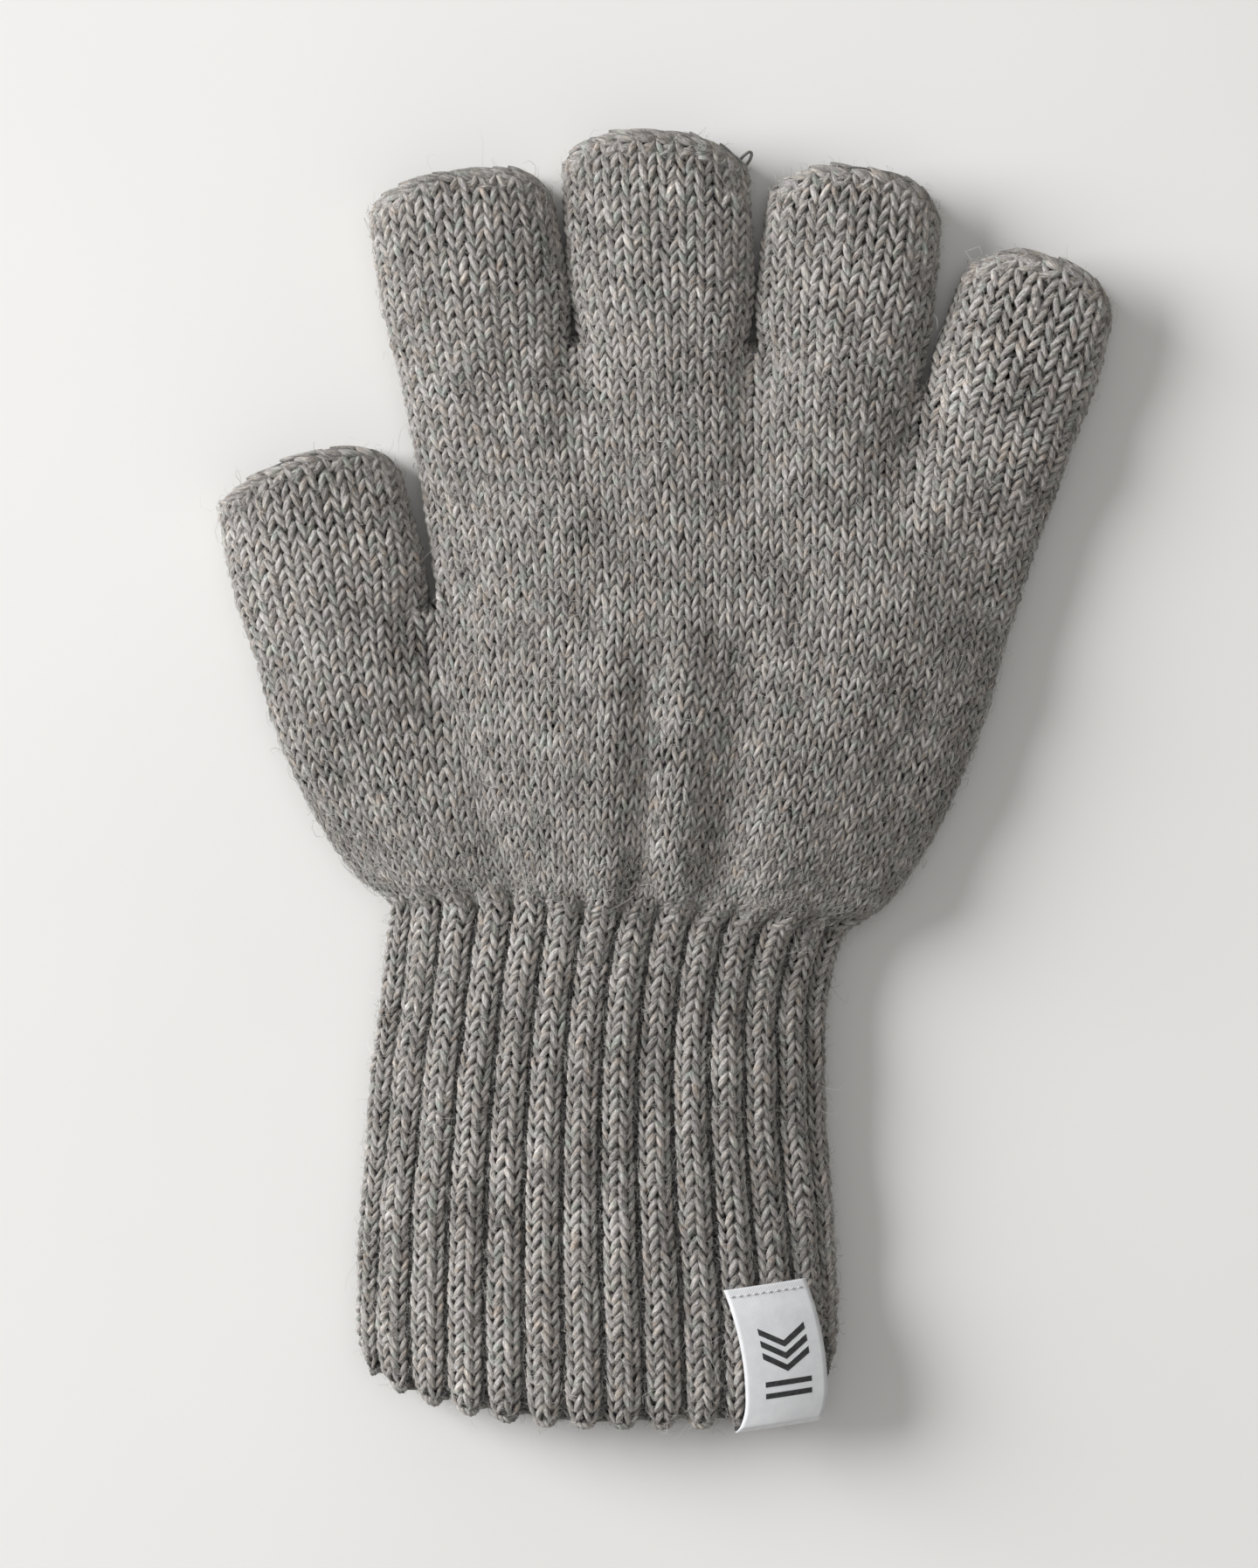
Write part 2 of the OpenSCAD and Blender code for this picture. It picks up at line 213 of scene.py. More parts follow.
def lobed(breaks, u):
    """Domes side by side between the breaks, with a shallow dip where two of them meet."""
    k = np.clip(np.searchsorted(breaks, u, side="right") - 1, 0, len(breaks) - 2)
    low, high = np.array(breaks)[k], np.array(breaks)[k + 1]
    local = np.clip(2 * (u - low) / (high - low) - 1, -1, 1)
    return np.maximum(crown(local), np.minimum(DIP_CROWN, crown(u)))


def section_plan(low, high, sides, u, v):
    """Places in plan between a lower and an upper line, bowed out along two curved sides."""
    s = ((u + 1) / 2)[..., None]
    left, right = sides
    bow_left = cubic(left, v) - line(left[0], left[3], v)
    bow_right = cubic(right, v) - line(right[0], right[3], v)
    return mix(low, high, v[..., None]) + mix(bow_left, bow_right, s)


# ---- Soft relief of the fabric lying on the table ----
def swell(p, a, b, width):
    """A long soft swelling that grows from a to height 1 at b, at the plan places p."""
    a, b = np.array(a, float), np.array(b, float)
    run = b - a
    t = np.clip(((p - a) @ run) / (run @ run), 0, 1)
    away = np.linalg.norm(p - (a + t[..., None] * run), axis=-1)
    return np.exp(-(away / width) ** 2) * ease(0.15 + 2.5 * t)


FOLDS = [
    # from, to, half width, height
    ((-8, 34), (-10, -18), 3.0, 1.0),
    ((4, 30), (1.5, -18), 2.4, 1.3),
    ((-2.5, 24), (-4, -16), 2.0, -0.7),
    ((14, 26), (9.5, -16), 4.0, -1.7),
    ((-42, 26), (-25, -20), 3.6, -1.3),
    ((-44, 40), (-28, -16), 9.0, -1.2),
    ((-24, 60), (-14, -14), 12.0, 1.2),
    ((28, 18), (20, -20), 7.0, 1.1),
    ((16, 64), (12, 20), 7.0, -0.8),
    ((40, 60), (34, -15), 12.0, 0.7),
]
WAVE_HEIGHT = 0.11
# Long low ripples over the whole fabric: length, heading and phase of each
WAVES = [(draw.uniform(14, 42), draw.uniform(0, 2 * math.pi), draw.uniform(0, 2 * math.pi))
         for _ in range(14)]


def relief(p, front):
    """How far the fabric stands off its plain shape at the plan places p."""
    high = np.zeros(p.shape[:-1])
    for length, heading, phase in WAVES:
        along = p[..., 0] * math.cos(heading) + p[..., 1] * math.sin(heading)
        high = high + WAVE_HEIGHT * np.sin(2 * math.pi * along / length + phase + (0 if front else 2))
    if front:
        for a, b, width, height in FOLDS:
            high = high + height * swell(p, a, b, width)
    return high


# ---- Tubes of fabric, as grids of places by wale and course ----
PER_WALE = 4
PER_COURSE = 2
PROFILE = (1 - np.cos(np.linspace(0, math.pi, 241)))[None, :] - 1


class Tube:
    """One knitted tube. s counts wales round it, the front's from left to right and then the
    back's from right to left; r counts courses from its lower end."""

    def __init__(self, plan, top, bottom, wales, courses, breaks, counts, rib_from, rib_to,
                 over=2.0):
        self.n, self.r = wales, courses
        self.over = over
        rows = np.arange(-over, courses + over + 1e-6, 1 / PER_COURSE)
        cols = np.arange(0, wales + 1e-6, 1 / PER_WALE)
        v = rows / courses
        rib = np.full((len(rows), 1), rib_from)
        if rib_to < rib_from:
            rib = rib * (1 - ease(rows / RIB_FADE))[:, None]
        local = cols % RIB_WALES
        warped = np.interp(local, RIB_AT, RIB_GOES_TO) + cols - local
        gutter = np.abs(local / 2 - 1) ** GUTTER_POWER
        layers = []
        for front in (True, False):
            half = top if front else bottom
            even = [self.by_arc(plan, half, e, breaks[e], counts[e], cols) for e in (0, 1)]
            ribbed = [self.by_arc(plan, half, e, breaks[e], counts[e], warped) for e in (0, 1)]
            t = ease(np.clip(v, 0, 1))[:, None]
            u = mix(mix(even[0], even[1], t), mix(ribbed[0], ribbed[1], t), rib)
            vv = np.broadcast_to(v[:, None], u.shape)
            p = plan(u, vv)
            z = half(u, np.clip(vv, 0, 1)) * (1 if front else -1)
            layers.append(np.concatenate([p, (EDGE_Z + z)[..., None]], -1))
        self.ring = np.concatenate([layers[0][:, :-1], layers[1][:, :0:-1]], 1)
        self.is_front = np.arange(self.ring.shape[1]) < len(cols) - 1
        self.smooth(2)
        self.face()
        drop = (rib * gutter)[:, :-1]
        drop = np.concatenate([drop, drop[:, ::-1]], 1) * RIB_DEPTH
        soft = np.where(self.is_front[None, :], relief(self.ring[..., :2], True),
                        relief(self.ring[..., :2], False))
        up = np.clip(np.abs(self.normal[..., 2]) * 1.6 - 0.3, 0, 1)
        soft = np.where(self.is_front[None, :], soft, np.minimum(soft, 0)) * up
        self.ring = self.ring + self.normal * (soft - FABRIC_INSET - drop)[..., None]
        self.face()

    @staticmethod
    def by_arc(plan, half, end, breaks, counts, cols):
        """u of each column, with each lobe's wales spread evenly along its arc."""
        u = PROFILE[0]
        v = np.full(u.shape, float(end))
        p = np.concatenate([plan(u, v), half(u, v)[:, None]], -1)
        arc = np.concatenate([[0], np.cumsum(np.linalg.norm(np.diff(p, axis=0), axis=1))])
        marks = np.interp(breaks, u, arc)
        wales = np.concatenate([[0], np.cumsum(counts)])
        return np.interp(np.interp(cols, wales, marks), arc, u)[None, :]

    def smooth(self, times):
        """Evens the grid out round the tube."""
        for _ in range(times):
            g = self.ring
            self.ring = g * 0.5 + (np.roll(g, 1, 1) + np.roll(g, -1, 1)) * 0.25

    def face(self):
        """Works out the grid's outward normals and the width of a wale at each place."""
        g = self.ring
        step_s = (np.roll(g, -1, 1) - np.roll(g, 1, 1)) / 2
        step_r = np.gradient(g, axis=0)
        n = unit(np.cross(step_s, step_r))
        for _ in range(3):
            n = n * 0.5 + (np.roll(n, 1, 1) + np.roll(n, -1, 1)) * 0.25
        self.normal = unit(n)
        self.pitch = np.linalg.norm(step_s, axis=-1) * PER_WALE

    def scallop(self, depth, fade, roll):
        """Lets each rib's lower end hang past the gutters and rolls it in towards the floor."""
        rows = (np.arange(self.ring.shape[0]) / PER_COURSE - self.over)[:, None]
        local = (np.arange(self.ring.shape[1]) / PER_WALE) % RIB_WALES
        hang = depth * (np.sin(math.pi * local / RIB_WALES) ** 0.9 - 0.5)[None, :]
        down = unit(self.ring[0, :, :2] - self.ring[self.row(6), :, :2])
        self.ring[..., :2] += (hang * (1 - ease(rows / fade)))[..., None] * down[None]
        self.ring -= self.normal * (roll * (1 - ease((rows + 1) / 3)))[..., None]
        self.face()

    def row(self, r):
        """Row of the grid at course r."""
        return round((r + self.over) * PER_COURSE)

    def join(self, other, first, other_first, count):
        """Runs count wales of this tube's upper end on into the lower end of other, on both
        faces, so that the loops of the two meet on one surface."""
        c = np.arange(0, count * PER_WALE + 1)
        mine = [first * PER_WALE + c, (2 * self.n - first) * PER_WALE - c]
        theirs = [other_first * PER_WALE + c, (2 * other.n - other_first) * PER_WALE - c]
        top, start = self.row(self.r), other.row(0)
        for a, b in zip(mine, theirs):
            a, b = a % self.ring.shape[1], b % other.ring.shape[1]
            for name in ("ring", "normal"):
                here, there = getattr(self, name), getattr(other, name)
                middle = (here[top, a] + there[start, b]) / 2
                here[top, a], there[start, b] = middle, middle
                for i in range(1, here.shape[0] - top):
                    here[top + i, a] = there[start + i, b]
                for i in range(1, start + 1):
                    there[start - i, b] = here[top - i, a]

    def at(self, s, r, what="ring"):
        """Places, normals or pitches at wales s and courses r."""
        g = getattr(self, what)
        x = (s * PER_WALE) % g.shape[1]
        y = np.clip((r + self.over) * PER_COURSE, 0, g.shape[0] - 1.001)
        i, j = np.floor(x).astype(int), np.floor(y).astype(int)
        fx, fy = x - i, y - j
        if g.ndim == 3:
            fx, fy = fx[..., None], fy[..., None]
        i, k = i % g.shape[1], (i + 1) % g.shape[1]
        return mix(mix(g[j, i], g[j, k], fx), mix(g[j + 1, i], g[j + 1, k], fx), fy)


# ---- Meshes of yarn ----
def new_object(name, mesh, material):
    """Gives a mesh its material and puts it in the scene."""
    mesh.materials.append(material)
    made = bpy.data.objects.new(name, mesh)
    bpy.context.scene.collection.objects.link(made)
    return made


class Yarns:
    """Gathers swept strands into one mesh, with each vertex's place on its strand."""

    def __init__(self):
        self.points, self.quads, self.ply, self.tone, self.rest = [], [], [], [], []
        self.height = []
        self.count = 0

    def sweep(self, path, radius, up, closed, tone, start=0.0, sides=YARN_SIDES, height=CREST):
        """path is (strands, steps, 3); radius, tone and height are (strands, steps)."""
        m, n = path.shape[:2]
        if closed:
            along = np.roll(path, -1, 1) - np.roll(path, 1, 1)
        else:
            along = np.gradient(path, axis=1)
        along = unit(along)
        side = unit(np.cross(along, up))
        up = np.cross(side, along)
        length = np.linalg.norm(np.diff(path, axis=1), axis=-1)
        length = np.concatenate([np.zeros((m, 1)), np.cumsum(length, 1)], 1)
        length = length + np.reshape(start, (-1, 1))
        a = np.arange(sides) * 2 * math.pi / sides
        r = radius[..., None, None]
        points = (path[:, :, None, :] + r * (np.cos(a)[:, None] * side[:, :, None, :]
                  + FLATTEN * np.sin(a)[:, None] * up[:, :, None, :]))
        turn = a[None, None, :] + TWIST * length[..., None]
        ply = np.stack([np.cos(turn), np.sin(turn),
                        np.broadcast_to(length[..., None], turn.shape)], -1)
        steps = np.arange(n if closed else n - 1)
        nxt = (steps + 1) % n
        k = np.arange(sides)
        base = self.count + np.arange(m)[:, None, None] * n * sides
        i0, i1 = steps[None, :, None] * sides, nxt[None, :, None] * sides
        k0, k1 = k[None, None, :], ((k + 1) % sides)[None, None, :]
        quads = np.stack([base + i0 + k0, base + i1 + k0, base + i1 + k1, base + i0 + k1], -1)
        self.points.append(points.reshape(-1, 3))
        self.quads.append(quads.reshape(-1, 4))
        self.ply.append(ply.reshape(-1, 3))
        # Each vertex's height over the fabric, which the wool turns into painted shade and painted
        # light
        self.height.append((np.broadcast_to(height, radius.shape)[..., None]
                            + radius[..., None] * np.sin(a)).reshape(-1))
        self.tone.append(np.broadcast_to(tone[..., None], turn.shape).reshape(-1))
        self.rest.append(np.broadcast_to(path[:, :, None, :], points.shape).reshape(-1, 3))
        self.count += m * n * sides

    def make(self, name, material):
        """One mesh object of all the strands, which carries what its material reads."""
        points = np.concatenate(self.points) * MM
        quads = np.concatenate(self.quads)
        mesh = bpy.data.meshes.new(name)
        mesh.vertices.add(len(points))
        mesh.vertices.foreach_set("co", points.astype(np.float32).ravel())
        mesh.loops.add(quads.size)
        mesh.loops.foreach_set("vertex_index", quads.astype(np.int32).ravel())
        mesh.polygons.add(len(quads))
        mesh.polygons.foreach_set("loop_start", np.arange(0, quads.size, 4, dtype=np.int32))
        mesh.update(calc_edges=True)
        mesh.polygons.foreach_set("use_smooth", np.ones(len(quads), bool))
        for word, kind, values in (("ply", "FLOAT_VECTOR", self.ply), ("tone", "FLOAT", self.tone),
                                   ("height", "FLOAT", self.height),
                                   ("rest", "FLOAT_VECTOR", self.rest)):
            layer = mesh.attributes.new(word, kind, "POINT")
            data = np.concatenate(values).astype(np.float32).ravel()
            layer.data.foreach_set("vector" if kind == "FLOAT_VECTOR" else "value", data)
        return new_object(name, mesh, material)


def knit(yarns, tube, rows, purl=None, fill=0.0):
    """Closed courses of yarn loops round a tube. purl(k) says which wales show their back, and
    fill how far the painted shade in the gaps between loops is eased towards the strands'
    plain colour, which makes the gaps paler."""
    n = 2 * tube.n
    t = np.arange(LOOP_STEPS) * 2 * math.pi / LOOP_STEPS
    k = np.arange(n)
    shape = (len(rows), n, LOOP_STEPS)
    half = (np.arange(n * LOOP_STEPS) / (LOOP_STEPS / 2)).reshape(n, LOOP_STEPS)
    low = np.floor(half).astype(int)
    part = half - low

    def spread(size):
        """Random offsets at half stitches, read linearly between them, in one row per course."""
        w = draw.normal(0, size, (len(rows), 2 * n))
        return mix(w[:, low % (2 * n)], w[:, (low + 1) % (2 * n)], part)

    lean = LOOP_LEAN + spread(0.028)
    reach = LOOP_REACH + spread(0.07)
    depth = LOOP_DEPTH + spread(0.11)
    s = k[None, :, None] + t / (2 * math.pi) + lean * np.sin(2 * t) + spread(0.04)
    r = np.array(rows)[:, None, None] + 0.5 - reach * np.cos(t) + spread(0.08)
    z = -depth * np.cos(2 * t) + spread(0.1)
    if purl is not None:
        z = np.where(purl(k)[None, :, None], -z * 0.6 - PURL_SINK, z)
    s, r, z = (np.broadcast_to(x, shape).reshape(len(rows), -1) for x in (s, r, z))
    normal = unit(tube.at(s, r, "normal"))
    path = tube.at(s, r) + normal * z[..., None]
    pitch = tube.at(s, r, "pitch")
    thick = np.broadcast_to((0.8 + 0.2 * np.sin(t) ** 2) * (1 + spread(0.13)), shape)
    radius = thick.reshape(len(rows), -1) * np.clip(YARN_SHARE * pitch, YARN_MIN, YARN_R)
    tone = spread(1.0).reshape(len(rows), -1)
    start = draw.uniform(0, 500, len(rows))
    # Each vertex carries its height over the fabric, eased towards CREST by fill, from which the wool
    # paints shade into the gaps
    yarns.sweep(path, radius, normal, True, tone, start, height=mix(z, CREST, fill))


def limb(tube, a, b, arch, deep, steps):
    """Paths of short strands from a to b, each (s, r, depth), bowed by arch across and by deep
    outwards. a and b are (strands, 3)."""
    t = np.linspace(0, 1, steps)[None, :]
    s = mix(a[:, :1], b[:, :1], t)
    r = mix(a[:, 1:2], b[:, 1:2], t) + arch * np.sin(math.pi * t)
    z = mix(a[:, 2:], b[:, 2:], t) + deep * np.sin(math.pi * t)
    normal = unit(tube.at(s, r, "normal"))
    return tube.at(s, r) + normal * z[..., None], normal


def spindle(steps, thick, ends=0.3):
    """Radii of a strand that thins to a share of its thickness at both ends."""
    t = np.linspace(0, 1, steps)
    return thick * (ends + (1 - ends) * np.sin(math.pi * np.clip(t, 0.02, 0.98)) ** 0.6)


# The rows of the bound-off chain: the shares of its depth where a limb starts and ends, the side
# that it bows to, its radius, how far it bows out and its length in wales
CHAIN_ROWS = ((-0.06, 0.36, 1, 0.56, 0.78, 1.25), (0.84, 0.56, -1, 0.60, 0.6, 1.5),
              (0.98, 0.86, -1, 0.5, 0.1, 1.6))
# The plain strands under the limbs: share of the chain's depth and height over the fabric
CHAIN_CORES = ((0.18, -0.5), (0.55, -0.6), (0.85, -0.4))
CHAIN_CORE_R = 0.62
CHAIN_PLY = 0.075
CHAIN_WOBBLE = 0.13
CHAIN_BOW = 0.12


def chain_edge(yarns, tube):
    """The bound-off chain: rows of slanted limbs of two plies lying along the rim over cores."""
    n = 2 * tube.n
    base = tube.r
    k = np.arange(n)[:, None].astype(float)
    rise = CHAIN_L / COURSE
    for low, high, slant, thick, deep, long in CHAIN_ROWS:
        for ply in (-1, 1):
            wob = draw.normal(0, CHAIN_WOBBLE, (n, 4))
            shift = ply * CHAIN_PLY
            a = np.concatenate([k + 0.5 - long / 2 + wob[:, :1],
                                base + (low + shift) * rise + wob[:, 1:2],
                                np.full((n, 1), -0.25)], 1)
            b = np.concatenate([k + 0.5 + long / 2 + wob[:, 2:3],
                                base + (high + shift) * rise + wob[:, 3:],
                                np.full((n, 1), -0.35)], 1)
            path, normal = limb(tube, a, b, CHAIN_BOW * slant, deep, 8)
            radius = spindle(8, thick)[None, :] * (1 + draw.normal(0, 0.1, (n, 1)))
            tone = np.broadcast_to(draw.normal(0, 1.0, (n, 1)), radius.shape)
            yarns.sweep(path, radius, normal, False, tone, draw.uniform(0, 500, n), 8)
    steps = np.arange(n * 4) / 4.0
    for level, deep in CHAIN_CORES:
        s, r = steps[None, :], np.full((1, len(steps)), base + level * rise)
        normal = unit(tube.at(s, r, "normal"))
        path = tube.at(s, r) + normal * deep
        # The cores get a fixed low tone and a height under the fabric, so the wool's painted shade
        # darkens them where they lie under the limbs
        tone = np.full(s.shape, -0.6)
        yarns.sweep(path, np.full(s.shape, CHAIN_CORE_R), normal, True, tone, 3.0, height=-0.6)


HEM_YARN_R = 0.5
HEM_DROP = 0.35
HEM_SCALLOP = 0.2
HEM_PLY = 0.16
HEM_SINK = 0.35


def hem_edge(yarns, tube):
    """The starting edge: two strands twisted round each other along scallops, one per rib."""
    n = 2 * tube.n
    steps = np.arange(n * 8) / 8.0
    scallop = np.sin(math.pi * (steps % RIB_WALES) / RIB_WALES) ** 1.2
    for turn in (0, math.pi):
        angle = 2 * math.pi * steps + turn
        s = steps[None, :]
        r = (-HEM_DROP - HEM_SCALLOP * scallop + HEM_PLY * np.cos(angle))[None, :]
        normal = unit(tube.at(s, r, "normal"))
        path = tube.at(s, r) + normal * (0.25 * np.sin(angle) - HEM_SINK)[None, :, None]
        radius = np.full(s.shape, HEM_YARN_R) * (1 + 0.05 * np.sin(steps * 3.1))[None, :]
        tone = np.interp(steps, np.arange(n), draw.normal(0, 0.8, n))[None, :]
        yarns.sweep(path, radius, normal, True, tone, 11.0 + turn)


# Two kinds of stray fibre: length, how steeply it stands off and how much it curls
SHORT_FIBRE = (1.6, 0.3, 1.0)
LONG_FIBRE = (3.8, 0.5, 1.6)
LONG_SHARE = 0.1


def hairs(yarns, tube, count, kind, span, side):
    """Stray wool fibres on the outside of a tube's face, 0 in front or 1 behind, whose roots lie
    between two courses."""
    length, lift, curl = kind
    s = draw.uniform(0, tube.n, count) + side * tube.n
    r = draw.uniform(*span, count)
    normal = unit(tube.at(s, r, "normal"))
    root = tube.at(s, r) + normal * (HAIR_ROOT + draw.uniform(-0.25, 0.15, (count, 1)))
    across = unit(np.cross(normal, unit(draw.normal(0, 1, (count, 3)))))
    other = np.cross(normal, across)
    size = length * draw.lognormal(0, 0.45, count)
    bend = draw.normal(0, 1.3, count) * curl
    bend2 = draw.normal(0, 1.6, count) * curl
    steep = lift * draw.uniform(-0.1, 1.0, count)
    t = np.linspace(0, 1, HAIR_STEPS)
    path = np.zeros((count, HAIR_STEPS, 3))
    path[:, 0] = root
    for i in range(1, HAIR_STEPS):
        head = bend * t[i] * 2 + bend2 * np.sin(3 * t[i])
        rise = steep * np.cos(t[i] * 2.6)
        go = (across * np.cos(head)[:, None] + other * np.sin(head)[:, None]
              + normal * rise[:, None])
        path[:, i] = path[:, i - 1] + unit(go) * (size / (HAIR_STEPS - 1))[:, None]
    path[..., 2] = np.maximum(path[..., 2], 0.05)
    radius = np.broadcast_to(HAIR_R * np.sin(math.pi * np.clip(t, 0.01, 0.99)) ** 0.35,
                             path.shape[:2])
    tone = np.broadcast_to(draw.normal(0, 1, (count, 1)), path.shape[:2])
    up = np.broadcast_to(normal[:, None, :], path.shape)
    yarns.sweep(path, radius, up, False, tone, 0.0, 3)


# ---- Materials ----
def new_material(name):
    """A material with its node tree and its one shader node."""
    m = bpy.data.materials.new(name)
    m.use_nodes = True
    tree = m.node_tree
    shader = tree.nodes["Principled BSDF"]
    return m, tree, shader


def node(tree, kind, **values):
    """A new node with each value set on the socket or the property of that name."""
    made = tree.nodes.new(kind)
    for k, v in values.items():
        if k in made.inputs:
            made.inputs[k].default_value = v
        else:
            setattr(made, k, v)
    return made


def ramp(tree, source, *colour_stops):
    """The colour that source picks between stops, each (place, colour)."""
    made = tree.nodes.new("ShaderNodeValToRGB")
    elements = made.color_ramp.elements
    while len(elements) < len(colour_stops):
        elements.new(0.5)
    for e, (place, colour) in zip(elements, colour_stops):
        e.position = place
        e.color = (*colour, 1)
    tree.links.new(source, made.inputs["Fac"])
    return made.outputs["Color"]


def maths(tree, operation, a, b):
    """The outcome of one operation on two sockets or numbers."""
    made = tree.nodes.new("ShaderNodeMath")
    made.operation = operation
    for i, x in enumerate((a, b)):
        if isinstance(x, (int, float)):
            made.inputs[i].default_value = x
        else:
            tree.links.new(x, made.inputs[i])
    return made.outputs[0]


def tinted(tree, factor, colour, tint):
    """The colour multiplied by the tint, as far as the factor says."""
    made = node(tree, "ShaderNodeMix", data_type="RGBA", blend_type="MULTIPLY")
    sockets = {i.name: i for i in made.inputs if i.enabled}
    sockets["Factor"].default_value = factor
    tree.links.new(colour, sockets["A"])
    tree.links.new(tint, sockets["B"])
    return next(o for o in made.outputs if o.enabled)


def attribute(tree, word, scale):
    """A place that the mesh carries, scaled on its three axes."""
    place = node(tree, "ShaderNodeAttribute", attribute_name=word)
    scaled = node(tree, "ShaderNodeVectorMath", operation="MULTIPLY")
    tree.links.new(place.outputs["Vector"], scaled.inputs[0])
    scaled.inputs[1].default_value = scale
    return scaled.outputs[0]


def noise(tree, vector, scale, detail, rough):
    """Soft random spots over the places in vector."""
    made = node(tree, "ShaderNodeTexNoise", Scale=scale, Detail=detail, Roughness=rough)
    tree.links.new(vector, made.inputs["Vector"])
    return made.outputs["Fac"]


def surface(tree, shader, colour, rough, specular=0.5):
    """Gives the shader its colour and its shine."""
    tree.links.new(colour, shader.inputs["Base Color"])
    shader.inputs["Roughness"].default_value = rough
    shader.inputs["Specular IOR Level"].default_value = specular


WOOL_GREYS = ((0.16, (0.05, 0.048, 0.047)), (0.42, (0.25, 0.238, 0.225)),
              (0.60, (0.40, 0.385, 0.365)), (0.86, (0.70, 0.68, 0.65)))


def wool(name, bright):
    """Grey mélange wool: pale and dark fibres twisted together, tinted fleck by fleck."""
    m, tree, shader = new_material(name)
    fibres = noise(tree, attribute(tree, "ply", (2.6, 2.6, 0.36)), 1.0, 3.0, 0.65)
    flecks = noise(tree, attribute(tree, "ply", (0.9, 0.9, 0.55)), 1.0, 2.0, 0.6)
    clouds = noise(tree, attribute(tree, "rest", (0.11, 0.11, 0.11)), 1.0, 2.0, 0.5)
    tints = noise(tree, attribute(tree, "rest", (0.55, 0.35, 0.55)), 1.0, 2.0, 0.6)
    tone = node(tree, "ShaderNodeAttribute", attribute_name="tone").outputs["Fac"]
    value = maths(tree, "MULTIPLY", fibres, 1.15)
    for part, weight in ((flecks, 0.7), (clouds, 0.35), (tone, 0.035)):
        value = maths(tree, "ADD", value, maths(tree, "MULTIPLY", part, weight))
    value = maths(tree, "SUBTRACT", value, 0.59)
    grey = ramp(tree, value,
                *((at, tuple(bright * c for c in colour)) for at, colour in WOOL_GREYS))
    tint = ramp(tree, tints, (0.32, (0.84, 0.97, 0.92)), (0.43, (1, 1, 1)),
                (0.57, (1, 1, 1)), (0.68, (1.0, 0.91, 0.83)))
    colour = tinted(tree, 0.8, grey, tint)
    cool = noise(tree, attribute(tree, "ply", (0.7, 0.7, 0.4)), 1.0, 1.0, 0.5)
    mauve = ramp(tree, cool, (0.36, (0.96, 0.94, 0.98)), (0.5, (1, 1, 1)), (0.66, (1.0, 0.95, 0.92)))
    colour = tinted(tree, 1.0, colour, mauve)
    # Painted shade and painted light: from each vertex's height over the fabric, strands sunk between
    # the loops are darkened towards black, and strand crests standing high are lightened a little
    height = node(tree, "ShaderNodeAttribute", attribute_name="height").outputs["Fac"]
    painted_gap_shade = ramp(tree, maths(tree, "ADD", maths(tree, "MULTIPLY", height, 0.35), 0.5),
                (0.36, (0.08, 0.08, 0.09)), (0.58, (0.48, 0.48, 0.48)),
                (0.74, (1.10, 1.10, 1.10)), (0.92, (1.20, 1.20, 1.20)))
    colour = tinted(tree, 1.0, colour, painted_gap_shade)
    surface(tree, shader, colour, 0.92, 0.18)
    shader.inputs["Sheen Weight"].default_value = 0.25
    shader.inputs["Sheen Roughness"].default_value = 0.45
    shader.inputs["Sheen Tint"].default_value = (0.95, 0.94, 0.92, 1)
    bump = node(tree, "ShaderNodeBump", Strength=1.0, Distance=0.0003)
    tree.links.new(fibres, bump.inputs["Height"])
    tree.links.new(bump.outputs[0], shader.inputs["Normal"])
    return m


def fibre(name):
    """Single loose hairs, pale or dark one by one."""
    m, tree, shader = new_material(name)
    tone = node(tree, "ShaderNodeAttribute", attribute_name="tone").outputs["Fac"]
    shade = ramp(tree, maths(tree, "ADD", maths(tree, "MULTIPLY", tone, 0.22), 0.5),
                 (0.1, (0.12, 0.115, 0.11)), (0.5, (0.50, 0.485, 0.46)), (0.9, (0.85, 0.83, 0.80)))
    surface(tree, shader, shade, 0.7, 0.25)
    return m


# Copies of one wool: the chain and hem yarn is 5% darker, and the crotch darning 15% darker, which is
# painted shade of the crotches between the fingers
WOOL = wool("knit_wool", 1.0)
EDGE_WOOL = wool("edge_yarn", 0.95)
CROTCH_SHADED_WOOL = wool("closing_yarn", 0.85)
FIBRE = fibre("stray_fibre")

# ---- The knitted tubes ----
ONE_DOME = ([-1, 1], [-1, 1])


def cuff_plan(u, v):
    low = line(HEM_LEFT, HEM_RIGHT, (u + 1) / 2)
    drop = HEM_ARC * np.sqrt(np.maximum(0, 1 - np.abs(u - HEM_LEAN * (1 - u * u)) ** 3))
    low = low + np.stack([np.zeros_like(u), HEM_L - drop], -1)
    return section_plan(low, line(WRIST_LEFT, WRIST_RIGHT, (u + 1) / 2), CUFF_SIDES, u, v)


def cuff_back(u, v):
    return EDGE_Z * flat(u) - MOUTH_LIFT * np.minimum(1, flat(u)) * ease(1 - 2.6 * v)


CUFF_COURSES = 41
cuff = Tube(cuff_plan, lambda u, v: CUFF_TOP * crown(u), cuff_back, ALL_WALES, CUFF_COURSES,
            ONE_DOME, ([ALL_WALES], [ALL_WALES]), 1.0, 1.0)
cuff.scallop(1.3, 5, 1.3)

LOWER_BREAKS = [-1, THUMB_SHARE, 1]
LOWER_COURSES = 24


def lower_plan(u, v):
    high = stops([(-1, THUMB_OUTER), (THUMB_SHARE, THUMB_CROTCH), (1, PALM_RIGHT)], u)
    return section_plan(line(WRIST_LEFT, WRIST_RIGHT, (u + 1) / 2), high, LOWER_SIDES, u, v)


